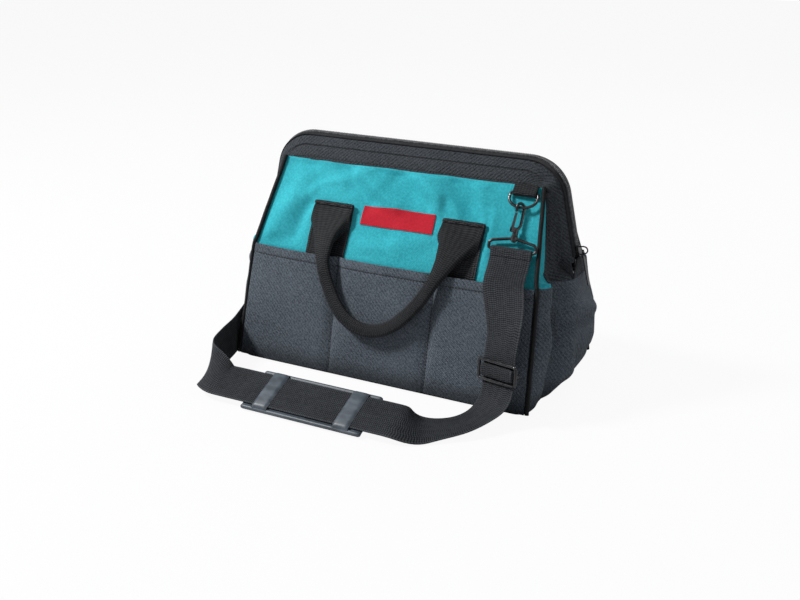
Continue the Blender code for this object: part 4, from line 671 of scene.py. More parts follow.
def strap_route():
    """The middle line as stations of six numbers: place, then direction across the web."""
    def lead(side):
        return [(*loop_point(side, 0, -EYE_FOOT - STRAP_LEAD * k), 1, 0, 0) for k in (0, 1)]

    def on_pad_line(x):
        return (x, pad_line.y, pad_line.z, *pad_across)
    right = [on_pad_line(STRAP_RIGHT + STRAP_LEAD * k) for k in (1, 0)]
    left = [on_pad_line(STRAP_LEFT - STRAP_LEAD * k) for k in (0, 1, 2)]
    front = smooth_line(lead("front") + list(STRAP_FRONT) + right, STATION_STEP)
    middle = smooth_line([right[-1], left[0]], 0.0080)
    rear = smooth_line(left + list(STRAP_REAR) + lead("rear")[::-1], STATION_STEP)
    return front + middle[1:] + rear[1:]


def evened(stations, rounds):
    """Take the small steps out of the turn of the web."""
    for _ in range(rounds):
        mean = [tuple((a + 2 * b + c) / 4 for a, b, c in zip(p, q, r))
                for p, q, r in zip(stations, stations[1:], stations[2:])]
        stations = [stations[0]] + mean + [stations[-1]]
    return stations


route = evened(strap_route(), 6)
DROP_FOOT = 0.072
low_stations = [i for i, station in enumerate(route) if station[2] < DROP_FOOT]
first_low, last_low = low_stations[0], low_stations[-1]
print("strap stations:", len(route), "drop ends at", first_low, "and", last_low)

# %% [markdown]
# The strap is cut in three. The long middle lies still. On the real bag the two drops hang from
# rings that swing out with the mouth, and the webbing slumps as they come down, so a drop flattens
# towards the floor as its frame opens. Here all three pieces stay with the still body. Each is the
# same web with its edges rounded a little and ten columns across.

# %% The strap's three pieces
WEB_COLUMNS = 10
web_across = there_and_back([s * STRAP_WIDTH / 2 for s in spread(WEB_COLUMNS, -1, 1)])


def edge_share(s, at_edge):
    """A web's thickness is less at its two edges."""
    return at_edge if abs(s) == 1 else 1.0


def web(name, stations):
    rings, count = [], len(stations)
    for i, station in enumerate(stations):
        ahead, behind = stations[min(i + 1, count - 1)], stations[max(i - 1, 0)]
        along = (Vector(ahead[:3]) - Vector(behind[:3])).normalized()
        across = Vector(station[3:6])
        across = (across - along * across.dot(along)).normalized()
        through, centre, ring = along.cross(across).normalized(), Vector(station[:3]), []
        for s, layer in strip_places(WEB_COLUMNS):
            thin = STRAP_THICKNESS / 2 * edge_share(s, 0.55)
            slack = 0.00025 * noise_at(centre.x + s * 0.02, centre.y, centre.z, 0.03, 4.0)
            ring.append(centre + across * (s * STRAP_WIDTH / 2) + through * (layer * thin + slack))
        rings.append(ring)
    return skin(name, rings, strap_web, web_across, caps="strip")


def length_of(stations):
    return distances([Vector(s[:3]) for s in stations])[-1]


lying = route[first_low:last_low + 1]
strap_lay = web("strap_lay", lying)
dress(strap_lay, "body", "webbing_black", "strap_front_run", "strap_middle_run", "strap_rear_run")

drops = {"front": route[:first_low + 1], "rear": list(reversed(route[last_low:]))}
for side, stations in drops.items():
    drop = web("strap_drop_" + side, stations)
    dress(drop, "body", "webbing_black")
    out = 1.0 if side == "front" else -1.0
    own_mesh(drop)
print("strap on the floor, mm:", round(1000 * length_of(lying)),
      "whole, mm:", round(1000 * length_of(route)))

# %% [markdown]
# The lower bag is coarse grey canvas. The front and rear pocket bands are sewn down at the base,
# at the corners and at two upright seams, so the cloth stands off in between and is pinched in at
# each seam. The top edge is folded over a finger's breadth and stitched, which makes it thicker.
# Cloth simulation could drape them, but every seam has a known place here. So the outer face is
# one formula of the place on the band, and each feature is a term in it.

# %% Pocket bands
POCKET_GAP_TOP, POCKET_GAP_BOTTOM, POCKET_FOLD, POCKET_SPAN = 0.0072, 0.0012, 0.0105, 0.176
FOLD_LINE = POCKET_HEIGHT - POCKET_FOLD


def pocket_face(x, z):
    """Distance of the pocket's outer face from the bag's middle plane."""
    share = z / POCKET_HEIGHT
    bow = 1 - min(abs(x) / panel_half_length(z), 1.0) ** 8
    pinch = bell(abs(x) - POCKET_SEAM, 0.0075)
    gap = POCKET_GAP_BOTTOM + (POCKET_GAP_TOP - POCKET_GAP_BOTTOM) * share * bow
    swell = 0.0016 * math.sin(min(share, 1.0) * math.pi) * (1 - pinch)
    slack = 0.0011 * noise_at(x, 0.4, z, 0.055, 2.0) * bow * min(1.0, 4 * share)
    top_wave = 0.0012 * share ** 4 * noise_at(x, 1.3, 0.0, 0.05, 7.0) * (1 - pinch)
    fold = 0.0007 * ease((z - FOLD_LINE) / 0.0012)
    crease = -0.0005 * bell(z - FOLD_LINE, 0.0016) - 0.0012 * bell(abs(x) - POCKET_SEAM, 0.0018)
    return (panel_depth(z) + gap * (1 - 0.55 * pinch) + CANVAS + swell + slack + top_wave
            + fold + crease)


def row_places(low, high, count, dense_at=(), dense_width=0.004):
    """Even places with extra ones close to each sharp feature."""
    places = {round(place, 6) for place in spread(count, low, high)}
    for spot in dense_at:
        near = [spot + dense_width * k / 4 for k in range(-4, 5)]
        places |= {round(place, 6) for place in near if low < place < high}
    return sorted(places)


low, high = BASE_CLOTH + GAP, POCKET_HEIGHT
seams = (-POCKET_SEAM, POCKET_SEAM)
shares = [x / POCKET_SPAN for x in row_places(-POCKET_SPAN, POCKET_SPAN, 110, seams, 0.005)]
for side in SIDES:
    grid = []
    for z in row_places(low, high, 44, (FOLD_LINE,), 0.003):
        half = panel_half_length(z) - GAP
        lip = -0.0008 * ease((z - high + 0.0012) / 0.0012)
        outer = [(s * half, -(pocket_face(s * half, z) + lip), z) for s in shares]
        grid.append([turned(point, side) for point in outer])
    band = cloth("pocket_band_" + side, grid, CANVAS * 0.9, turned((0, 1, 0), side), grey_canvas)
    dress(band, "body", "canvas_grey", side + "_pocket_band")
print("pocket band faces:", len(band.data.polygons))

# %% [markdown]
# Behind the pockets stand the plain lower panels, and under everything lies the base, a doubled
# cloth with softly rounded edges over the stiffener board. The panels hardly show, so plain
# sheets do. The base is skinned over five rounded outlines, because its lower edge is rounder
# than its upper one.

# %% Lower panels and base
for side in SIDES:
    grid = []
    for z in row_places(BASE_CLOTH + GAP, POCKET_HEIGHT - GAP, 24):
        half = panel_half_length(z) - GAP
        grid.append([turned((x, -panel_depth(z), z), side) for x in spread(60, -half, half)])
    panel = cloth("lower_panel_" + side, grid, CANVAS, turned((0, 1, 0), side), grey_canvas)
    dress(panel, "body", "canvas_grey", side + "_lower_panel")


def rounded_outline(half_x, half_y, corner, steps=8):
    points = []
    for cx, cy, start in ((1, 1, 0.0), (-1, 1, 0.5), (-1, -1, 1.0), (1, -1, 1.5)):
        for angle in (math.pi * a for a in spread(steps, start, start + 0.5)):
            points.append((cx * (half_x - corner) + corner * math.cos(angle),
                           cy * (half_y - corner) + corner * math.sin(angle)))
    return points


BASE_CORNER = 0.014
base_layers = ((0.004, 0.0), (0.0012, 0.0004), (0.0, 0.0013), (0.0004, 0.0024),
               (0.0030, BASE_CLOTH))
rings = []
for inset, height in base_layers:
    outline = rounded_outline(BASE_LENGTH / 2 - inset, BASE_DEPTH / 2 - inset, BASE_CORNER - inset)
    rings.append([Vector((x, y, height)) for x, y in outline])
base = skin("base_cloth", rings, grey_canvas)
uv_layer = base.data.uv_layers[0].data
for loop in base.data.loops:
    uv_layer[loop.index].uv = base.data.vertices[loop.vertex_index].co.xy
dress(base, "body", "canvas_grey", "base_panel")
print("base:", [round(1000 * v, 1) for v in base.dimensions])

# %% [markdown]
# The ends are soft gussets. Each swells out at the middle, tucks in behind the corner on both
# sides, and creases across where the cloth is longer than the bag is high. The main swell follows
# a simple rule, and single folds are laid on it as soft ridges, placed like the ones in the
# photograph.

# %% End gussets
GUSSET_SWELL, GUSSET_FOLD, FOLD_PLACE, FOLD_WIDTH = 0.038, 0.026, 0.62, 0.13
SWELL_KNOTS = ((0.0, 0.10), (0.25, 0.62), (0.62, 1.0), (1.0, 0.70))
GUSSET_RIDGES = (
    ((-0.050, 0.112), (0.026, 0.092), 0.0075, 0.0062),
    ((-0.046, 0.095), (0.022, 0.075), 0.0075, -0.0072),
    ((-0.008, 0.130), (-0.034, 0.118), 0.0070, 0.0024),
    ((-0.058, 0.110), (-0.064, 0.040), 0.0075, -0.0060),
    ((0.018, 0.060), (0.040, 0.030), 0.0100, 0.0034),
    ((-0.046, 0.062), (-0.014, 0.018), 0.0090, 0.0048),
    ((-0.030, 0.072), (0.000, 0.034), 0.0080, -0.0050),
)


def swell_share(z):
    share = min(z / POCKET_HEIGHT, 1.0)
    for (low, first), (high, second) in zip(SWELL_KNOTS, SWELL_KNOTS[1:]):
        if share <= high:
            return mix(first, second, math.sin((share - low) / (high - low) * math.pi / 2))


def gusset_x(y_share, z):
    """How far out the end cloth stands; 1 is the corner and 0 the middle."""
    swell = GUSSET_SWELL * math.sqrt(max(0.0, 1 - y_share ** 2))
    fold = GUSSET_FOLD * bell(y_share - FOLD_PLACE, FOLD_WIDTH)
    return panel_half_length(z) + swell_share(z) * (swell - fold)


def gusset_depth(z):
    return panel_depth(z) - CANVAS - GAP


def gusset_folds(y, z):
    """Single creases of the end cloth, in metres outward."""
    creases = sum(ridge(y, z, *fold) for fold in GUSSET_RIDGES)
    return creases + 0.0014 * noise_at(y, 0.0, z, 0.035, 11.0)


for side, end in ENDS:
    grid = []
    low, high = BASE_CLOTH + GAP, POCKET_HEIGHT - GAP
    for z in spread(60, low, high):
        row = []
        for k in spread(96):
            share = -math.cos(math.pi * k) * 0.35 + (2 * k - 1) * 0.65
            y = share * gusset_depth(z)
            free = ease((1 - abs(share)) / 0.18)
            free = free * ease((z - low) / 0.012) * ease((high - z) / 0.010)
            mirrored = y if side == "front" else -0.8 * y
            x = gusset_x(abs(share), z) + free * gusset_folds(mirrored, z)
            row.append(turned((x, y, z), side))
        grid.append(row)
    gusset = cloth("gusset_" + end, grid, CANVAS, turned((-1, 0, 0), side), grey_canvas)
    dress(gusset, "body", "canvas_grey", end + "_gusset")
print("gusset faces:", len(gusset.data.polygons))

# %% [markdown]
# Above the pockets the bag is teal canvas, carried round each corner as a narrow strip, and black
# cloth closes each end up to the zip. Both are sewn to the still lower bag and to the moving
# mouth, so they are the pieces that bend when the mouth opens. Folds run down from the handle
# tabs and under the hem. Seams hold the cloth on all its sides, so the folds are drawn as soft
# ridges and fade out before the seams.

# %% Teal panels
MOUTH_TOP, MOUTH_CORNER, LEG_FOOT, LEG_LEAN = 0.2575, 0.045, 0.199, math.radians(12.5)
LEG_BAND, HEM_BAND = 0.0115, 0.026
HEM_INNER, HEM_OUTER, HEM_TAIL = 0.0042, 0.0112, 0.0226
WRAP_TOP, WRAP_BOTTOM, HINGE_FADE, THROAT_TOP = 0.002, 0.017, 0.0145, 0.2235
HANDLE_X, LABEL_HALF_WIDTH, LABEL_TOP, LABEL_BOTTOM = 0.082, 0.046, 0.191, 0.171
LEAN_COS, LEAN_SIN, ARC_Z = math.cos(LEG_LEAN), math.sin(LEG_LEAN), MOUTH_TOP - MOUTH_CORNER
PANEL_RIDGES = (
    ((-0.158, 0.146), (-0.132, 0.208), 0.012, 0.0050),
    ((-0.128, 0.150), (-0.117, 0.192), 0.0085, -0.0048),
    ((-0.122, 0.192), (-0.080, 0.212), 0.008, 0.0062),
    ((-0.084, 0.224), (-0.040, 0.196), 0.010, -0.0064),
    ((-0.060, 0.222), (-0.004, 0.196), 0.010, 0.0078),
    ((-0.014, 0.222), (0.030, 0.200), 0.009, -0.0056),
    ((0.020, 0.226), (0.064, 0.192), 0.011, 0.0078),
    ((0.060, 0.224), (0.096, 0.192), 0.010, -0.0066),
    ((0.088, 0.224), (0.114, 0.190), 0.009, 0.0044),
    ((0.108, 0.196), (0.112, 0.150), 0.009, 0.0038),
    ((-0.034, 0.148), (0.030, 0.160), 0.010, 0.0032),
)


def leg_x(z):
    return LEG_FOOT - (z - HINGE_HEIGHT) * math.tan(LEG_LEAN)


ARC_X = leg_x(ARC_Z) - MOUTH_CORNER / LEAN_COS


def leg_tail(z):
    """Inner edge of the hem on the leg and into the corner's curve."""
    radius = MOUTH_CORNER - LEG_BAND
    if z < ARC_Z + radius * LEAN_SIN:
        return leg_x(z) - LEG_BAND / LEAN_COS
    return ARC_X + math.sqrt(max(radius ** 2 - (z - ARC_Z) ** 2, 0.0))


def throat_line(z):
    """The end cloth at a height, as a function from 0 at the corner to 1 at the hem."""
    corner_x, corner_y = panel_half_length(z), panel_depth(z)
    tail_x, tail_y = leg_tail(z) - GAP * 2, HEM_TAIL + CANVAS + GAP

    def at(v):
        y = mix(corner_y, tail_y, v)
        edge = gusset_x(y / gusset_depth(POCKET_HEIGHT), POCKET_HEIGHT)
        edge += panel_half_length(z) - panel_half_length(POCKET_HEIGHT)
        above = ease((z - POCKET_HEIGHT) / HINGE_FADE)
        return Vector((mix(edge, mix(corner_x, tail_x, v), above), -y, z))
    return at


def wrap_share(z):
    """How much of the end cloth at a height is the teal strip."""
    line, rise = throat_line(z), (z - POCKET_HEIGHT) / PANEL_RISE
    length = distances([line(v) for v in spread(8)])[-1]
    return min(mix(WRAP_BOTTOM, WRAP_TOP, rise) / length, 0.5)


def panel_folds(x, z):
    """Folds of the teal cloth outward from its plane."""
    lift = sum(ridge(x, z, *fold) for fold in PANEL_RIDGES)
    lift += 0.0036 * noise_at(x, 0.0, z, 0.050, 3.0) + 0.0010 * noise_at(x, 0.0, z, 0.018, 5.0)
    return lift + 0.0008 * math.sin(x * 210) * bell(HEM_HEIGHT - z, 0.010)


def free_share(x, z):
    """0 at the seams, 1 where the cloth is free; the cloth lies flatter behind the hook."""
    free = ease((panel_half_length(z) - abs(x)) / 0.014)
    free = free * ease((z - POCKET_HEIGHT) / 0.014) * ease((HEM_HEIGHT - z) / 0.006)
    return free * mix(0.35, 1.0, ease((abs(x - FITTING_X) - 0.024) / 0.012))


def cloth_out(x, z):
    """How far the teal cloth stands out; low where the raised handle lies against it."""
    lift = panel_folds(x, z) * free_share(x, z)
    near = (1 - ease((abs(abs(x) - HANDLE_X) - 0.026) / 0.010)) * (1 - ease((z - 0.206) / 0.010))
    return min(lift, mix(lift, 0.0008, near))


OUT_SCALE = PANEL_RISE / SLOPE_LENGTH
UP_SCALE = math.sqrt(1 - OUT_SCALE ** 2)


def panel_point(x, z, out=0.0):
    """Point on the teal cloth with its folds, out from it by a small distance."""
    lift = cloth_out(x, z) + out
    return Vector((x, -panel_depth(z) - lift * OUT_SCALE, z + lift * UP_SCALE))


for side in SIDES:
    grid = []
    for z in row_places(POCKET_HEIGHT - 0.004, HEM_HEIGHT + 0.0012, 56):
        upper = max(z, POCKET_HEIGHT + GAP)
        half = panel_half_length(upper)
        row = [panel_point(x, z) for x in spread(128, -half, half)]
        if z < POCKET_HEIGHT:
            row = [Vector((p.x, p.y - 0.0004, p.z)) for p in row]
        sewn = min(upper, THROAT_TOP)
        share, line = wrap_share(sewn), throat_line(sewn)
        corner = Vector((half, -panel_depth(upper), 0))
        strip = [line(share * (k + 1) / 8) - line(0) + corner for k in range(8)]
        right = [Vector((p.x, p.y, z)) for p in strip]
        left = [Vector((-p.x, p.y, z)) for p in reversed(strip)]
        grid.append([turned(p, side) for p in left + row + right])
    panel = cloth("upper_panel_" + side, grid, CANVAS, turned((0, 1, 0), side), teal_canvas)
    dress(panel, side + "_cloth", "canvas_teal", side + "_upper_panel")
print("teal panel faces:", len(panel.data.polygons))

# %% [markdown]
# The black throat cloth between the teal strip and the hem is slack: it has to let the mouth
# swing wide. When the bag is shut it hangs in shallow upright folds. Its last edge is tucked in
# behind the hem. At each height the sheet runs along a line from the corner to the hem, so it
# follows the change in width by itself.

# %% Throat cloths
THROAT_TUCK = Vector((0.0050, 0.0030, 0.0))

for side, end, mirror in CORNERS:
    grid = []
    for z in row_places(POCKET_HEIGHT - 0.003, THROAT_TOP + 0.004, 40):
        upper = min(max(z, POCKET_HEIGHT + GAP), THROAT_TOP)
        line, start = throat_line(upper), wrap_share(upper)
        tuck = THROAT_TUCK * max(ease((upper - 0.151) / 0.006), 0.1)
        row = []
        for k, v in enumerate(spread(28, start * 0.80, 1.03)):
            point = line(min(v, 1.0)) + tuck * (max(v - 1.0, 0.0) / 0.03)
            slack = math.sin(math.pi * k / 28) * ease((z - POCKET_HEIGHT) / 0.02)
            fold = (0.0016 * math.sin(v * 13 + z * 30) * slack
                    + 0.0010 * noise_at(v, 0.0, z, 0.05, 6.0) * slack)
            inset = 0.0009 * (1 - ease(k / 3))
            row.append(turned((mirror * (point.x + fold - inset), point.y, z), side))
        grid.append(row)
    name = "throat_%s_%s" % (side, end)
    piece = cloth(name + "_cloth", grid, CANVAS * 0.8, turned((-mirror, 0, 0), side), black_trim)
    dress(piece, side + "_cloth", "trim_black", name)
print("throat faces:", len(piece.data.polygons))

# %% [markdown]
# Each of the four corners is edged with piping: a cord bound in black cloth and sewn into the
# seam. It runs in one line from the base to the hem, but its lower half is still and its upper
# half moves. A curve with a round bevel would look alike, but rings of points give it the cloth's
# UV map too.

# %% Corner piping
PIPING_RADIUS = 0.0024


def piping_point(z, mirror, side):
    above = ease((z - POCKET_HEIGHT + 0.006) / 0.014)
    reach = PIPING_RADIUS + GAP
    wander = 0.0003 * noise_at(z, mirror, 0.0, 0.02, 9.0)
    x = panel_half_length(z) + mix(reach, reach * 0.4, above) + wander
    return turned((mirror * x, -(panel_depth(z) + mix(CANVAS, reach * 0.80, above)), z), side)


for side, end, mirror in CORNERS:
    for level, low, high, body in (("lower", 0.0035, POCKET_HEIGHT, "body"),
                                   ("upper", POCKET_HEIGHT, HEM_HEIGHT + 0.001, side + "_cloth")):
        path = [piping_point(z, mirror, side) for z in spread(40, low, high)]
        name = "piping_%s_%s_%s" % (side, end, level)
        piece = skin(name + "_cord", tube_rings(path, PIPING_RADIUS, 14), cord_cover)
        dress(piece, body, "piping_black", name)
print("piping lengths: eight")

# %% [markdown]
# The mouth is stiffened by a steel U in a folded hem. Seen from outside, the hem has a round bead
# where the wire lies, a stitched groove under it, and a flat band that ends in a fold over the
# teal cloth. Its section changes smoothly from the wide band on top to the narrow one down the
# legs. A curve's bevel has the same section everywhere, so here each station along the mouth gets
# a section of its own.

# %% Mouth hem
HEM_START, GROOVE, WIDE_BAND = 0.150, -0.0108, 0.0165


def mouth_stations(start, leg_steps, arc_steps, top_steps):
    """The mouth's outer edge from leg to leg over the top: place, outward direction and angle."""
    right = []
    for z in spread(leg_steps, start, ARC_Z + MOUTH_CORNER * LEAN_SIN)[:-1]:
        right.append(((leg_x(z), z), (LEAN_COS, LEAN_SIN), LEG_LEAN))
    for angle in spread(arc_steps, LEG_LEAN, math.pi / 2):
        out = (math.cos(angle), math.sin(angle))
        right.append(((ARC_X + MOUTH_CORNER * out[0], ARC_Z + MOUTH_CORNER * out[1]), out, angle))
    for x in spread(top_steps, ARC_X, 0)[1:-1]:
        right.append(((x, MOUTH_TOP), (0.0, 1.0), math.pi / 2))
    left = [((-p[0], p[1]), (-o[0], o[1]), angle) for p, o, angle in right]
    return left + [((0.0, MOUTH_TOP), (0.0, 1.0), math.pi / 2)] + list(reversed(right))


def mouth_point(station, lift, out):
    (x, z), (nx, nz), _ = station
    return Vector((x + lift * nx, -out, z + lift * nz))


def along_mouth(stations, section, side):
    return [[turned(mouth_point(s, a, b), side) for a, b in section] for s in stations]


def band_width(station):
    """The hem's width, and how much of it has the wide top section."""
    width = max(LEG_BAND, MOUTH_CORNER - (MOUTH_CORNER - HEM_BAND) / math.sin(station[2]))
    return width, ease((width - LEG_BAND) / 0.009)


def hem_section(width, slack):
    """Section on top as lift and outward distance, from the inner top edge round the outside."""
    slope = (HEM_TAIL - HEM_OUTER) / width
    tail = HEM_TAIL + 0.0010 + slack

    def band(share, rise, tail_share, extra):
        return mix(GROOVE, -width, share), mix(HEM_OUTER + rise, tail, tail_share) + extra
    return [
        (-0.0008, HEM_INNER - 0.0002), (0.0004, HEM_INNER + 0.0016), (0.0007, HEM_OUTER - 0.0034),
        (0.0001, HEM_OUTER - 0.0010), (-0.0016, HEM_OUTER + 0.0008), (-0.0042, HEM_OUTER + 0.0021),
        (-0.0070, HEM_OUTER + 0.0030 + slope * 0.002),
        (-0.0092, HEM_OUTER + 0.0029 + slope * 0.006),
        (GROOVE, HEM_OUTER + 0.0019 - slope * GROOVE * 0.85 - 0.0012),
        band(0.12, 0.0058, 0.12, 0.0), band(0.35, 0.0062, 0.35, slack),
        band(0.65, 0.0060, 0.65, slack * 1.5), band(0.88, 0.0056, 0.90, 0.0),
        (-width - 0.0006, tail - 0.0003),
        (-width - 0.0010, tail - 0.0011), (-width - 0.0004, tail - 0.0022),
        (mix(GROOVE, -width, 0.5), mix(HEM_OUTER + 0.0018, HEM_TAIL - 0.0024, 0.5)),
        (-0.0100, HEM_OUTER + slope * 0.0098 - 0.0026), (-0.0099, HEM_INNER + 0.0004),
        (-0.0090, HEM_INNER - 0.0002),
    ]


def leg_section(width):
    """Down the legs the bead fills the band's whole width."""
    bead = [(0.0006, -0.0034), (0.0002, 0.0), (-0.0012, 0.0030), (-0.0030, 0.0056),
            (-0.0050, 0.0076), (-0.0066, 0.0090), (-0.0076, 0.0094), (-0.0084, 0.0100),
            (-0.0092, 0.0108), (-0.0100, 0.0114), (-0.0108, 0.0119)]
    return ([(-0.0008, HEM_INNER - 0.0002), (0.0004, HEM_INNER + 0.0016)]
            + [(lift, HEM_OUTER + out) for lift, out in bead]
            + [(-width - 0.0003, HEM_TAIL + 0.0004), (-width - 0.0006, HEM_TAIL - 0.0006),
               (-width - 0.0002, HEM_TAIL - 0.0020), (-0.0106, HEM_TAIL - 0.0032),
               (-0.0100, HEM_OUTER + 0.0040), (-0.0099, HEM_INNER + 0.0004),
               (-0.0090, HEM_INNER - 0.0002)])


def hem_slack(station, side):
    x, z = station[0]
    return 0.0004 * noise_at(x, 0.0, z, 0.030, 8.0 if side == "front" else 15.0)


mouth = mouth_stations(HEM_START, 26, 26, 46)
for side in SIDES:
    rings = []
    for station in mouth:
        width, share = band_width(station)
        wide = hem_section(max(width, WIDE_BAND), hem_slack(station, side))
        section = [(mix(a[0], b[0], share), mix(a[1], b[1], share))
                   for a, b in zip(leg_section(width), wide)]
        rings += along_mouth([station], section, side)
    hem = skin("mouth_hem_" + side, rings, black_trim, sharp=60)
    dress(hem, side + "_frame", "trim_black", side + "_mouth_hem")
print("hem stations:", len(mouth), "faces:", len(hem.data.polygons))

# %% [markdown]
# The zip's two tapes lie on the hem's edge. Each carries a coil of nylon, whose loops show as a
# row of small teeth. A Geometry Nodes tree lays one tooth at every pitch along the mouth's edge
# and turns it across the tape, so pitch and size can be changed without drawing anything again.

# %% Zip tape and the rows of teeth
TOOTH_PITCH, TOOTH_LENGTH, TOOTH_RADIUS, TOOTH_FLATNESS = 0.00210, 0.0032, 0.00072, 1.6
ZIP_FOOT, TOOTH_LIFT, TOOTH_OUT = 0.1562, 0.0031, 0.00225
TAPE_SECTION = ((0.0003, 0.0008), (0.0003, 0.0112), (0.0008, 0.0117), (0.0015, 0.0110),
                (0.0014, 0.0062), (0.0019, 0.0046), (0.0018, 0.0030), (0.0013, 0.0008))
COIL_SECTION = ((0.0017, 0.0009), (0.0017, 0.0030), (0.0027, 0.0032), (0.0034, 0.0026),
                (0.0036, 0.0009))


def row_tree(name, segments, rings):
    """Node tree that repeats one rounded thread or tooth along the lines it is given."""
    tree = bpy.data.node_groups.new(name, "GeometryNodeTree")
    for label, kind in (("Lines", "Geometry"), ("Pitch", "Float"), ("Length", "Float"),
                        ("Radius", "Float"), ("Flatness", "Float"), ("Finish", "Material"),
                        ("Across", "Bool")):
        tree.interface.new_socket(label, in_out="INPUT", socket_type="NodeSocket" + kind)
    tree.interface.new_socket("Row", in_out="OUTPUT", socket_type="NodeSocketGeometry")
    given = node(tree, "NodeGroupInput").outputs
    line = node(tree, "GeometryNodeMeshToCurve", {0: given["Lines"]}).outputs[0]
    places = node(tree, "GeometryNodeCurveToPoints", {"Curve": line, "Length": given["Pitch"]},
                  mode="LENGTH").outputs
    half = calc(tree, "MULTIPLY", given["Length"], 0.5)
    thin = calc(tree, "MULTIPLY", given["Radius"], given["Flatness"])
    along = node(tree, "ShaderNodeCombineXYZ", {0: given["Radius"], 1: thin, 2: half}).outputs[0]
    across = node(tree, "ShaderNodeCombineXYZ", {0: thin, 1: half, 2: given["Radius"]}).outputs[0]
    size = node(tree, "GeometryNodeSwitch", {0: given["Across"], 1: along, 2: across},
                input_type="VECTOR").outputs[0]
    ball = node(tree, "GeometryNodeMeshUVSphere",
                {"Segments": segments, "Rings": rings, "Radius": 1.0}).outputs["Mesh"]
    shape = node(tree, "GeometryNodeTransform", {"Geometry": ball, "Scale": size}).outputs[0]
    steady = node(tree, "FunctionNodeAxesToRotation",
                  {"Primary Axis": places["Tangent"], "Secondary Axis": (0.0, 1.0, 0.0)},
                  primary_axis="Z", secondary_axis="Y").outputs[0]
    made = node(tree, "GeometryNodeInstanceOnPoints",
                {"Points": places["Points"], "Instance": shape, "Rotation": steady}).outputs[0]
    made = node(tree, "GeometryNodeRealizeInstances", {0: made}).outputs[0]
    made = node(tree, "GeometryNodeSetShadeSmooth", {"Geometry": made}).outputs[0]
    painted = {"Geometry": made, "Material": given["Finish"]}
    made = node(tree, "GeometryNodeSetMaterial", painted).outputs[0]
    node(tree, "NodeGroupOutput", {0: made})
    return tree


def row_along(name, lines, tree, finish, pitch, length, radius, flatness=1.0, across=False):
    """Repeat the tree's small shape along lines of points and keep the result as a plain mesh."""
    vertices, edges = [], []
    for line in lines:
        first = len(vertices)
        vertices += [tuple(p) for p in line]
        edges += [(first + k, first + k + 1) for k in range(len(line) - 1)]
    mesh = bpy.data.meshes.new(name + " lines")
    mesh.from_pydata(vertices, edges, [])
    carrier = add_object(name + " lines", mesh)
    modifier = carrier.modifiers.new("row", "NODES")
    modifier.node_group = tree
    wanted = {"Pitch": pitch, "Length": length, "Radius": radius, "Flatness": flatness,
              "Finish": finish, "Across": across}
    for item in tree.interface.items_tree:
        if item.in_out == "INPUT" and item.name in wanted:
            modifier[item.identifier] = wanted[item.name]
    graph = bpy.context.evaluated_depsgraph_get()
    made = bpy.data.meshes.new_from_object(carrier.evaluated_get(graph))
    made.name = name
    bpy.data.objects.remove(carrier)
    made.materials.clear()
    made.materials.append(finish)
    return add_object(name, made)


tooth_row = row_tree("row of teeth", 8, 5)
zip_line = mouth_stations(ZIP_FOOT, 40, 40, 60)
for side in SIDES:
    body = side + "_frame"
    tape = skin("zip_tape_" + side, along_mouth(zip_line, TAPE_SECTION, side), black_tape, sharp=70)
    dress(tape, body, "trim_black", side + "_zip_tape")
    bed = skin("zip_coil_bed_" + side, along_mouth(zip_line, COIL_SECTION, side), nylon_coil,
               sharp=70)
    dress(bed, body, "zip_coil")
    line = [turned(mouth_point(station, TOOTH_LIFT, TOOTH_OUT), side) for station in zip_line]
    shift = 0.0 if side == "front" else TOOTH_PITCH / 2
    line[0] = line[0].lerp(line[1], min(shift / (line[1] - line[0]).length, 0.9))
    teeth = row_along("zip_teeth_" + side, [line], tooth_row, nylon_coil, TOOTH_PITCH, TOOTH_LENGTH,
                      TOOTH_RADIUS, TOOTH_FLATNESS, True)
    dress(teeth, body, "zip_coil", side + "_zip_coil")
print("teeth faces:", len(teeth.data.polygons))

# %% [markdown]
# A folded tab of black cloth closes each end of the zip over the hinge. It is stitched down on
# the gusset's edge, is widest there and narrows towards the zip. A small lining behind the hinge
# keeps its rivet from rubbing on what lies in the bag.

# %% Zip end tabs and hinge linings
TAB_TOP, TAB_STAND_OFF, TAB_FOOT_HALF, TAB_TOP_HALF = 0.1530, 0.0029, 0.0240, 0.0070
TAB_ROWS, TAB_COLUMNS, TAB_HALF_THICK = 14, 12, 0.0006
LINING_X, LINING_HALF, LINING_LOW, LINING_HIGH = 0.1812, 0.022, 0.1318, 0.1480
THIN_CLOTH = 0.0010

for side, end in ENDS:
    up, out = Vector((-LEAN_SIN, 0.0, LEAN_COS)), Vector((LEAN_COS, 0.0, LEAN_SIN))
    foot = Vector((leg_x(POCKET_HEIGHT), 0.0, POCKET_HEIGHT)) + out * TAB_STAND_OFF
    length, rings = (TAB_TOP - POCKET_HEIGHT) / LEAN_COS, []
    for r, share in enumerate(spread(TAB_ROWS)):
        half = mix(TAB_FOOT_HALF, TAB_TOP_HALF, ease(share) * 0.55 + share * 0.45)
        if r == TAB_ROWS:
            half -= 0.0009
        ring = []
        for s, layer in strip_places(TAB_COLUMNS):
            thick = TAB_HALF_THICK * (0.5 if abs(s) == 1 or r in (0, TAB_ROWS) else 1.0)
            bow = TAB_HALF_THICK * (1 - s * s) * math.sin(math.pi * share)
            place = foot + up * (length * share) + Vector((0, s * half, 0))
            ring.append(turned(place + out * (layer * thick + bow), side))
        rings.append(ring)
    tab = skin("zip_end_cloth_" + end, rings, black_trim, caps="strip", sharp=60)
    dress(tab, "body", "trim_black", "zip_end_" + end)
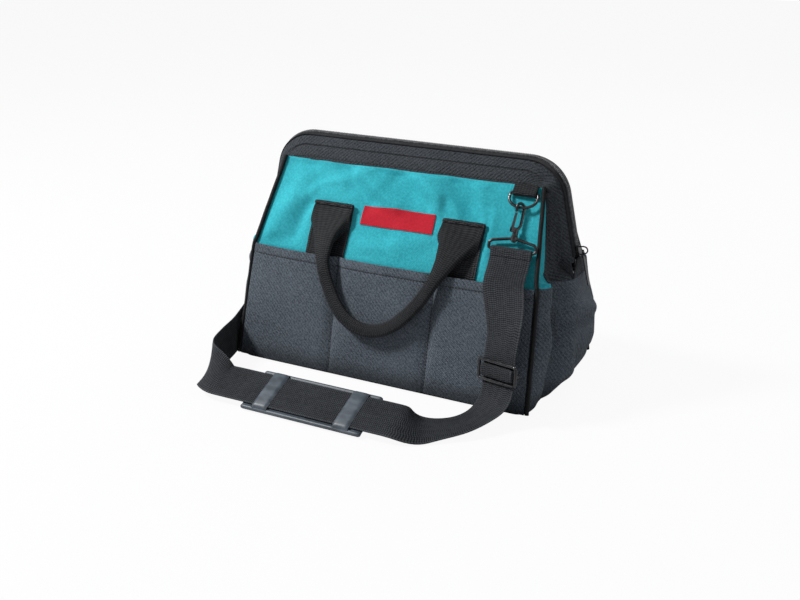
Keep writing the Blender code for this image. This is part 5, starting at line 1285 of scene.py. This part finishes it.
for side, end in ENDS:
    grid = [[turned((LINING_X - 0.0012 * math.sin(math.pi * k),
                     mix(-LINING_HALF, LINING_HALF, k), z), side) for k in spread(12)]
            for z in spread(8, LINING_LOW, LINING_HIGH)]
    lining = cloth("hinge_lining_" + end, grid, THIN_CLOTH, turned((-1, 0, 0), side), black_trim)
    dress(lining, "body", "trim_black")
print("zip end tabs: two, with a lining behind each hinge")

# %% [markdown]
# Between the throat's last edge and the foot of the hem there would be a hole to look through. A
# small cloth closes it at each of the four hinge ends.

# %% Hinge closing cloths
CLOSING_TOP, THROAT_LAP, LEG_LAP = 0.1555, 0.006, 0.0018

for side, end, mirror in CORNERS:
    grid = []
    for z in spread(10, POCKET_HEIGHT + GAP, CLOSING_TOP):
        near, far = throat_line(z)(1.0).x - THROAT_LAP, leg_x(z) + LEG_LAP
        grid.append([turned((mirror * mix(near, far, k), -HEM_TAIL + 0.0004 - 0.0010 * k, z), side)
                     for k in spread(8)])
    closing = cloth("hinge_closing_%s_%s" % (side, end), grid, THIN_CLOTH,
                    turned((0, 1, 0), side), black_trim)
    dress(closing, side + "_cloth", "trim_black")
print("closing cloths: four")

# %% [markdown]
# The handles are 50 mm webbing. A tab is sewn flat to the teal cloth, folds over at its top and
# comes down as the handle, where both edges are turned in behind so that the grip is narrow and
# round. The section is therefore one strip of webbing whose sides fold under more and more. A
# route gives each place its share of folding, from 0 where the web is flat to 1 in the hand.

# %% Handle loops
HANDLE_REACH, HANDLE_DROP, HANDLE_SWAY, HANDLE_FOLD_HEIGHT = 0.0546, 0.1240, 0.0105, 0.186
HANDLE_HALF, WEB_THICK, FOLD_STAND_OFF, HANDLE_STEP = 0.025, 0.0021, 0.0040, 0.0030
TURN_UNDER, GRIP_TILT, GRIP_LIFT, GRIP_SEAM = math.radians(176), 0.42, 0.0028, 0.0044
HANDLE_ROUTE = (
    (1.000, 0.000, 0.000, 0.00), (0.994, 0.168, 0.102, 0.10), (0.950, 0.470, 0.262, 0.65),
    (0.850, 0.745, 0.471, 1.00), (0.680, 0.857, 0.687, 1.00), (0.460, 0.954, 0.869, 1.00),
    (0.236, 0.991, 0.967, 1.00), (0.000, 1.000, 1.000, 1.00),
)
fold_drop = (HEM_HEIGHT - HANDLE_FOLD_HEIGHT) * SLOPE_LENGTH / PANEL_RISE


def folded_web(fold):
    """Middle line of half the webbing's section, from flat at 0 to folded under at 1."""
    half, bent = mix(0.0212, 0.0042, fold), mix(0.0016, 0.0074, fold)
    points = [(half * k, -0.0007 * fold * k ** 2) for k in spread(6)]
    steps, angle, (x, y) = 6, 0.0, points[-1]
    turn = fold * TURN_UNDER / steps
    for _ in range(steps):
        angle += turn
        x += math.cos(angle - turn / 2) * bent / steps
        y -= math.sin(angle - turn / 2) * bent / steps
        points.append((x, y))
    rest = mix(0.0248 - half - bent * 0.9, half - 0.0006, ease(fold * 1.15))
    return points + [(x + math.cos(angle) * rest * k, y - math.sin(angle) * rest * k)
                     for k in spread(5)[1:]]


def web_section(fold):
    """Closed outline of the folded webbing: its outer face, then its inner face back again."""
    right = folded_web(fold)
    line = [(-a, b) for a, b in reversed(right[1:])] + right
    outer, inner, last = [], [], len(line) - 1
    for k, (a, b) in enumerate(line):
        before, after = line[max(k - 1, 0)], line[min(k + 1, last)]
        run = math.hypot(after[0] - before[0], after[1] - before[1])
        nx, ny = -(after[1] - before[1]) / run, (after[0] - before[0]) / run
        thin = WEB_THICK / 2 * (0.45 if k in (0, last) else 1.0)
        outer.append((a + nx * thin, b + ny * thin))
        inner.append((a - nx * thin, b - ny * thin))
    return outer + list(reversed(inner))


def follow_tab(piece):
    """Give a handle piece a mesh of its own."""
    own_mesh(piece)


handle_seams = {side: ([], []) for side in SIDES}
handle_across = there_and_back(spread(34, -HANDLE_HALF, HANDLE_HALF))
for side in SIDES:
    top = on_panel(0.0, fold_drop, FOLD_STAND_OFF)
    right = [(HANDLE_X * across, top.y - HANDLE_REACH * reach, top.z - HANDLE_DROP * drop, fold)
             for across, reach, drop, fold in HANDLE_ROUTE]
    left = [(-p[0],) + p[1:] for p in reversed(right[:-1])]
    hung = [(p[0] - HANDLE_SWAY * (top.z - p[2]) / HANDLE_DROP,) + p[1:] for p in right + left]
    stations = smooth_line(hung, HANDLE_STEP)
    last, rings = len(stations) - 1, []
    for i, station in enumerate(stations):
        ahead, behind = stations[min(i + 1, last)], stations[max(i - 1, 0)]
        along = (Vector(ahead[:3]) - Vector(behind[:3])).normalized()
        near_tab = min(i, last - i)
        if near_tab < 3:
            level = Vector((0.0, along.y, along.z)).normalized()
            along = level.lerp(along, near_tab / 3).normalized()
        face = Vector((0.0, -1.0, GRIP_TILT))
        face = (face - along * face.dot(along)).normalized()
        across, fold = along.cross(face), min(max(station[3], 0.0), 1.0)
        centre = Vector(station[:3]) + face * (GRIP_LIFT * fold)
        centre += face * 0.0004 * noise_at(centre.x, centre.y, centre.z, 0.02, 12.0)
        rings.append([turned(centre + across * a + face * b, side) for a, b in web_section(fold)])
        if fold > 0.9:
            for seam, s in zip(handle_seams[side], (-1, 1)):
                place = centre + across * (s * GRIP_SEAM) + face * (WEB_THICK / 2 - 0.0006)
                seam.append(turned(place, side))
    handle = skin("handle_loop_" + side, rings, handle_web, handle_across, caps="strip", sharp=60)
    dress(handle, side + "_grip", "webbing_black", side + "_handle")
    follow_tab(handle)
print("handle stations:", len(stations), "faces:", len(handle.data.polygons))

# %% [markdown]
# The handles' tabs and the blank label are flat goods sewn on the cloth. They follow its folds,
# so each is a thin sheet laid on the same surface, a little way out. Shrinkwrap could lay them
# there. Asking the cloth's own formula for each point is exact and keeps their edges straight.

# %% Handle tabs and the blank label
HANDLE_TAB_FOOT, HANDLE_TAB_LIFT, HANDLE_TAB_THICK = 0.1300, 0.0021, 0.0018
LABEL_LIFT, LABEL_THICK = 0.0012, 0.0009


def patch(name, x_low, x_high, z_low, z_high, out, thickness, side, finish, columns=24, rows=24):
    grid = [[turned(panel_point(x, z, out), side) for x in spread(columns, x_low, x_high)]
            for z in spread(rows, z_low, z_high)]
    piece = cloth(name, grid, thickness, turned((0, 1, 0), side), finish)
    remap_uv(piece, lambda across, along: (across - (x_high - x_low) / 2, along))
    return piece


for side, end, mirror in CORNERS:
    centre = HANDLE_X * mirror
    name = "handle_tab_%s_%s" % (side, end)
    tab = patch(name + "_web", centre - HANDLE_HALF, centre + HANDLE_HALF, HANDLE_TAB_FOOT,
                HANDLE_FOLD_HEIGHT, HANDLE_TAB_LIFT, HANDLE_TAB_THICK, side, handle_web)
    dress(tab, side + "_cloth", "webbing_black", name)
label = patch("label_cloth", -LABEL_HALF_WIDTH, LABEL_HALF_WIDTH, LABEL_BOTTOM, LABEL_TOP,
              LABEL_LIFT, LABEL_THICK, "front", red_weave, 60, 20)
dress(label, "front_cloth", "label_red", "label_patch")
print("tabs: four, label mm:", round(2000 * LABEL_HALF_WIDTH))

# %% [markdown]
# The fold itself, where a handle leaves its tab, is a short roll of the same webbing. It turns
# with the handle, so it belongs to the loop's own body.

# %% Folds at the tops of the tabs
ROLL_RADIUS, ROLL_HALF, ROLL_HALF_THICK = 0.0023, 0.0249, 0.00095

for side in SIDES:
    for end, x in (("left", -HANDLE_X), ("right", HANDLE_X)):
        axis = on_panel(x, fold_drop, FOLD_STAND_OFF)
        up = (on_panel(x, 0.0, 0.0) - on_panel(x, 0.01, 0.0)).normalized()
        outward = (on_panel(x, 0.0, 0.01) - on_panel(x, 0.0, 0.0)).normalized()
        rings = []
        for angle in (math.pi * a for a in spread(14, -0.18, 1.18)):
            centre = (axis + outward * (ROLL_RADIUS * math.cos(angle))
                      + up * (ROLL_RADIUS * math.sin(angle) + 0.0004))
            through = outward * math.cos(angle) + up * math.sin(angle)
            rings.append([turned(centre + Vector((s * ROLL_HALF, 0, 0))
                                 + through * (layer * ROLL_HALF_THICK * edge_share(s, 0.5)), side)
                          for s, layer in strip_places(12)])
        across = there_and_back(spread(12, -HANDLE_HALF, HANDLE_HALF))
        roll = skin("handle_fold_%s_%s" % (side, end), rings, handle_web, across, "strip", 60)
        dress(roll, side + "_grip", "webbing_black")
        follow_tab(roll)
print("folds: four")

# %% [markdown]
# The ring hangs in a short tab of webbing sewn in under the hem, and the strap ends in an eye
# sewn round the hook's loop. Both are webbing folded round a bar: a flat part and a roll, in one
# section. That section is drawn once and carried across the webbing's width.

# %% Ring tabs and strap eyes
RING_DROP, RING_OFFSET, RING_WIRE, RING_TAB_HALF = 0.0095, 0.0038, 0.0016, 0.0133
END_SHRINK = 0.93


def arc(radius, start, end, steps=16):
    return [(radius * math.cos(math.pi * a), radius * math.sin(math.pi * a))
            for a in spread(steps, start, end)]


def roll_along(name, finish, half, count, place, outline):
    """Webbing rolled along its width: place gives a ring point from the share across and a, b."""
    rings = []
    for s in spread(count, -1, 1):
        shrink = 1.0 if abs(s) < 1 else END_SHRINK
        rings.append([place(s * half, a, b, shrink) for a, b in outline])
    piece = skin(name, rings, finish)
    remap_uv(piece, lambda across, along: (along - half, across))
    return piece


for side in SIDES:
    tab_end = RING_DROP + 0.0012
    outline = arc(RING_WIRE + BAR_CLEARANCE + 0.0014, 0.05, -1.05)
    outline += [(-0.0031, 0.0020), (-0.0031, tab_end), (0.0004, tab_end), (0.0012, 0.0052),
                (0.0024, 0.0028)]

    def tab_place(across, a, b, shrink):
        return turned(on_panel(FITTING_X + across, RING_DROP - b * shrink,
                               RING_OFFSET + a * shrink), side)
    tab = roll_along("ring_tab_web_" + side, handle_web, RING_TAB_HALF, 14, tab_place, outline)
    dress(tab, side + "_frame", "webbing_black", side + "_ring_tab")

    radius = LOOP_WIRE + BAR_CLEARANCE + 0.0015
    outline = arc(radius, -0.10, 1.10)
    outline += [(-0.0020, -radius - 0.0004), (-0.0017, -radius - 0.0040),
                (0.0017, -radius - 0.0040), (0.0020, -radius - 0.0004)]

    def eye_place(across, a, b, shrink):
        drop = b * (shrink if b > -radius else 1.0)
        return loop_point(side, across, drop - LOOP_BAR_DROP, a * shrink)
    eye = roll_along("strap_eye_web_" + side, strap_web, STRAP_WIDTH / 2, 16, eye_place, outline)
    dress(eye, side + "_ring", "webbing_black", side + "_strap_eye")
print("ring tabs and strap eyes: two each")

# %% [markdown]
# The shoulder pad is moulded rubber: a thin plate with a round rim along each long edge and two
# broad bands that hold the webbing down. The rims round off at their ends. One section along the
# length holds the plate and both rims, so no seam shows between them.

# %% Shoulder pad
PAD_RIM, PAD_PLATE, RIM_REACH, PAD_SQUARE = 0.0026, 0.0014, 0.0062, 0.955
BAND_X, BAND_HALF, BAND_TOP_HALF = 0.050, 0.0085, 0.0225


def pad_place(a, b, c):
    return PAD_CENTRE + pad_across * a + pad_out * b + Vector((c, 0, 0))


def pad_ring(x, reach):
    """Section of the plate and its two rims along the pad; reach shrinks it at the ends."""
    half, plate = PAD_WIDTH / 2, PAD_PLATE * reach
    rim = [(half - PAD_RIM + a * reach, b * reach) for a, b in arc(PAD_RIM, -0.80, 0.80, 12)]
    right = [(half - RIM_REACH, -plate)] + rim + [(half - RIM_REACH, plate)]
    left = [(-a, b) for a, b in reversed(right)]
    return [pad_place(a, b, x) for a, b in right + left]


tips = [(-1.0, 0.30), (-0.992, 0.62), (-0.978, 0.88), (-PAD_SQUARE, 1.0)]
places = tips + [(a, 1.0) for a in spread(40, -PAD_SQUARE, PAD_SQUARE)[1:-1]]
places += [(-a, b) for a, b in reversed(tips)]
rings = [pad_ring(a * PAD_LENGTH / 2, b) for a, b in places]
plate = skin("shoulder_pad_plate", rings, pad_rubber, sharp=60)
dress(plate, "pad", "pad_rubber", "shoulder_pad")
for name, s in (("left", -1), ("right", 1)):
    rings, half, low = [], PAD_WIDTH / 2, PAD_STRAP_LIFT + 0.0012
    for c in spread(12, -1, 1):
        edge = math.sqrt(max(1 - c ** 8, 0.0)) if abs(c) < 1 else 0.25
        top = mix(0.0034, PAD_STRAP_LIFT + 0.0029, edge)
        rise = [(half - 0.0012, 0.0012), (half - 0.0018, 0.0030), (half - 0.0034, top - 0.0007),
                (BAND_TOP_HALF, top)]
        crown = [(x * BAND_TOP_HALF, top + 0.0002 * (1 - x * x)) for x in (0.6, 0.2, -0.2, -0.6)]
        outer = rise + crown + [(-a, b) for a, b in reversed(rise)]
        inner = [(-0.0242, 0.0012), (-0.0240, low), (-0.02, low), (0.02, low), (0.0240, low),
                 (0.0242, 0.0012)]
        x = s * BAND_X + c * (BAND_HALF + 0.0010 * c ** 4)
        rings.append([pad_place(a, b, x) for a, b in outer + inner])
    dress(skin("pad_band_" + name, rings, pad_rubber, sharp=45), "pad", "pad_rubber")
print("pad plate faces:", len(plate.data.polygons))

# %% [markdown]
# The D-ring and the tri-glide are bent wire. Their middle lines are those of the solids, but with
# more steps and rounder wire, because glossy enamel shows every flat in its reflections.

# %% D-rings
RING_TILT, RING_HEIGHT, RING_INNER_HALF = math.radians(10.6), 0.0168, 0.0143


def closed_wire(name, path, radius, finish):
    """Round bar whose last section lies on its first, welded there."""
    rings = tube_rings(path, radius, 18, closed=True)
    piece = skin(name, rings + [rings[0]], finish, caps="none")
    bm = bmesh.new()
    bm.from_mesh(piece.data)
    bmesh.ops.remove_doubles(bm, verts=bm.verts, dist=1e-6)
    write_outwards(bm, piece.data)
    return piece


def ring_point(across, down):
    return on_panel(FITTING_X + across, RING_DROP + down * math.cos(RING_TILT),
                    RING_OFFSET + down * math.sin(RING_TILT))


half, corner = RING_INNER_HALF + RING_WIRE, RING_HEIGHT * 0.35
outline = [(-half + corner / 3, 0.0), (-half / 3, 0.0), (half / 3, 0.0), (half - corner / 3, 0.0),
           (half, corner / 3)]
outline += [(half * a, corner + (RING_HEIGHT - corner) * b) for a, b in arc(1.0, 0.0, 1.0, 32)]
outline += [(-half, corner / 3)]
for side in SIDES:
    knots, path = [turned(ring_point(a, b), side) for a, b in outline], []
    for i in range(len(knots)):
        four = [knots[(i + k) % len(knots)] for k in (-1, 0, 1, 2)]
        for t in (0, 1 / 3, 2 / 3):
            path.append(sum((p * w for p, w in zip(four, curve_weights(t))), Vector()))
    ring = closed_wire("d_ring_wire_" + side, path, RING_WIRE, black_enamel)
    dress(ring, side + "_ring", "hardware_black", side + "_d_ring")
print("D-ring points:", len(path))

# %% [markdown]
# The tri-glide sits where the front drop passes its height. It has a frame, a bar behind and the
# end of the webbing sewn round the bar in front. Its place and direction are read from the
# strap's route, so it stays on the web when the route changes.

# %% Tri-glide
GLIDE_HEIGHT, GLIDE_LIFT, GLIDE_FOLD_HALF, GLIDE_BAR_WIRE = 0.052, 0.0028, 0.0232, 0.0013
GLIDE_HALF_WIDTH, GLIDE_HALF_HEIGHT, GLIDE_CORNER, GLIDE_WIRE = 0.0275, 0.0105, 0.003, 0.0018


def glide_axes():
    stations = smooth_line(STRAP_FRONT, 0.011)
    above = [s for s in stations if s[2] > GLIDE_HEIGHT][-1]
    below = [s for s in stations if s[2] <= GLIDE_HEIGHT][0]
    along = (Vector(above[:3]) - Vector(below[:3])).normalized()
    across = Vector(above[3:])
    across = (across - along * across.dot(along)).normalized()
    share = (above[2] - GLIDE_HEIGHT) / (above[2] - below[2])
    return Vector(above[:3]).lerp(Vector(below[:3]), share), across, along, -along.cross(across)


glide_middle, glide_across, glide_along, glide_out = glide_axes()


def glide_place(a, b, lift):
    return glide_middle + glide_across * a + glide_along * b + glide_out * lift


outline = rounded_outline(GLIDE_HALF_WIDTH, GLIDE_HALF_HEIGHT, GLIDE_CORNER)
path = [glide_place(a, b, GLIDE_LIFT) for a, b in outline]
dress(closed_wire("glide_frame", path, GLIDE_WIRE, black_enamel), "glide", "hardware_black",
      "strap_glide")
bar = [glide_place(a * GLIDE_HALF_WIDTH, 0, b * GLIDE_LIFT)
       for a, b in ((-1, 1), (-1, -1), (1, -1), (1, 1))]
fine = [bar[0].lerp(bar[1], k) for k in spread(4)[:-1]]
fine += [bar[1].lerp(bar[2], k) for k in spread(24)]
fine += [bar[2].lerp(bar[3], k) for k in spread(4)[1:]]
back_bar = skin("glide_back_bar", tube_rings(fine, GLIDE_BAR_WIRE, 12), black_enamel)
dress(back_bar, "glide", "hardware_black")
rings = []
for s in spread(12, -1, 1):
    reach = 1.0 if abs(s) < 1 else 0.85
    rings.append([glide_place(s * GLIDE_FOLD_HALF, 0.0072 * a * reach,
                              GLIDE_LIFT + 0.0008 + 0.0021 * b * reach)
                  for a, b in arc(1.0, 0.0, 2.0, 24)[:-1]])
fold = skin("glide_web_fold", rings, strap_web, sharp=60)
remap_uv(fold, lambda across, along: (along - GLIDE_FOLD_HALF, across))
dress(fold, "glide", "webbing_black")
print("tri-glide at", [round(v, 3) for v in glide_middle])

# %% [markdown]
# Every remaining solid has the right shape already: hooks, gates, loops, rivets, frame wires,
# slider and pull. They keep their meshes and take the enamel or steel finish.

# %% Finishes on the solids that stay
kept = {"hinge_rivet_left": steel_wire, "hinge_rivet_right": steel_wire, "zip_slider": black_zip,
        "zip_pull": black_zip, "base_board": stiff_board}
for side in SIDES:
    kept[side + "_frame_wire"] = steel_wire
    for name in ("hook", "hook_gate", "hook_loop"):
        kept[side + "_" + name] = black_enamel
for name, finish in kept.items():
    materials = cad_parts[name].data.materials
    materials.clear()
    materials.append(finish)
print("solids kept:", len(kept))

# %% [markdown]
# Stitching is what tells sewn cloth from moulded. Each seam is a row of short threads: down the
# pocket seams, along the folded pocket edge, round the label, on the tabs and along the handles.
# A second row tree lays the threads along lines of points, because thousands of separate objects
# would be slow and hard to move.

# %% Stitch rows on the body and the handles
stitch_row = row_tree("row of stitches", 6, 4)
STITCH_PITCH, STITCH_LENGTH, STITCH_RADIUS = 0.0038, 0.0029, 0.00058
STITCH_LIFT, LABEL_INSET, TAB_SEAM_HALF, SEAM_FOOT = 0.0001, 0.0018, 0.0222, 0.008
LABEL_PITCH, LABEL_STITCH, LABEL_THREAD, LABEL_SEAM_OUT = 0.0026, 0.0020, 0.00028, 0.00125
TAB_SEAM_OUT, TAB_SEAM_LOW, TAB_SEAM_HIGH = 0.00215, 0.1375, 0.1800
TAB_CROSS_SEAMS = (0.1395, 0.1440)


def stitched(name, lines, body, slot="trim_black", finish=dark_thread, pitch=STITCH_PITCH,
             length=STITCH_LENGTH, radius=STITCH_RADIUS):
    row = row_along(name, lines, stitch_row, finish, pitch, length, radius)
    dress(row, body, slot)
    return row


def pocket_seam(x, z, side):
    return turned((x, -pocket_face(x, z) - STITCH_LIFT, z), side)


def patch_line(start, end, steps, out, side):
    """Line of points on the teal cloth between two places, each an x and a z."""
    return [turned(panel_point(mix(start[0], end[0], k), mix(start[1], end[1], k), out), side)
            for k in spread(steps)]


half = panel_half_length(FOLD_LINE) - 0.004
for side in SIDES:
    lines = [[pocket_seam(seam, z, side) for z in spread(60, SEAM_FOOT, POCKET_HEIGHT - 0.001)]
             for seam in seams]
    lines.append([pocket_seam(x, FOLD_LINE, side) for x in spread(160, -half, half)])
    stitched("pocket_stitches_" + side, lines, "body")

x, low, high = LABEL_HALF_WIDTH - LABEL_INSET, LABEL_BOTTOM + LABEL_INSET, LABEL_TOP - LABEL_INSET
corners = [(-x, low), (x, low), (x, high), (-x, high), (-x, low)]
lines = [patch_line(a, b, 40, LABEL_SEAM_OUT, "front") for a, b in zip(corners, corners[1:])]
stitched("label_stitches", lines, "front_cloth", "label_red", red_thread, LABEL_PITCH,
         LABEL_STITCH, LABEL_THREAD)
for side in SIDES:
    lines = []
    for centre in (-HANDLE_X, HANDLE_X):
        left, right = centre - TAB_SEAM_HALF, centre + TAB_SEAM_HALF
        for x in (left, right):
            lines.append(patch_line((x, TAB_SEAM_LOW), (x, TAB_SEAM_HIGH), 30, TAB_SEAM_OUT, side))
        for z in TAB_CROSS_SEAMS:
            lines.append(patch_line((left, z), (right, z), 20, TAB_SEAM_OUT, side))
    stitched("tab_stitches_" + side, lines, side + "_cloth", "webbing_black")
    row = stitched("handle_stitches_" + side, handle_seams[side], side + "_grip", "webbing_black")
    follow_tab(row)
print("stitch rows: pockets, label, tabs and handles")

# %% [markdown]
# Two more rows run along the mouth, one in the hem's groove and one near its lower fold. They
# ride the frames.

# %% Stitch rows on the moving mouth
for side in SIDES:
    groove, lower = [], []
    for station in mouth:
        width, share = band_width(station)
        if share < 0.98:
            continue
        section = hem_section(width, hem_slack(station, side))
        (lift, out), (a, b) = section[8], section[11:13]
        groove.append(turned(mouth_point(station, lift, out + STITCH_LIFT), side))
        lower.append(turned(mouth_point(station, mix(a[0], b[0], 0.6),
                                        mix(a[1], b[1], 0.6) + 2 * STITCH_LIFT), side))
    stitched("hem_stitches_" + side, [groove, lower], side + "_frame")
print("hem stitches along", round(1000 * distances(groove)[-1]), "mm")
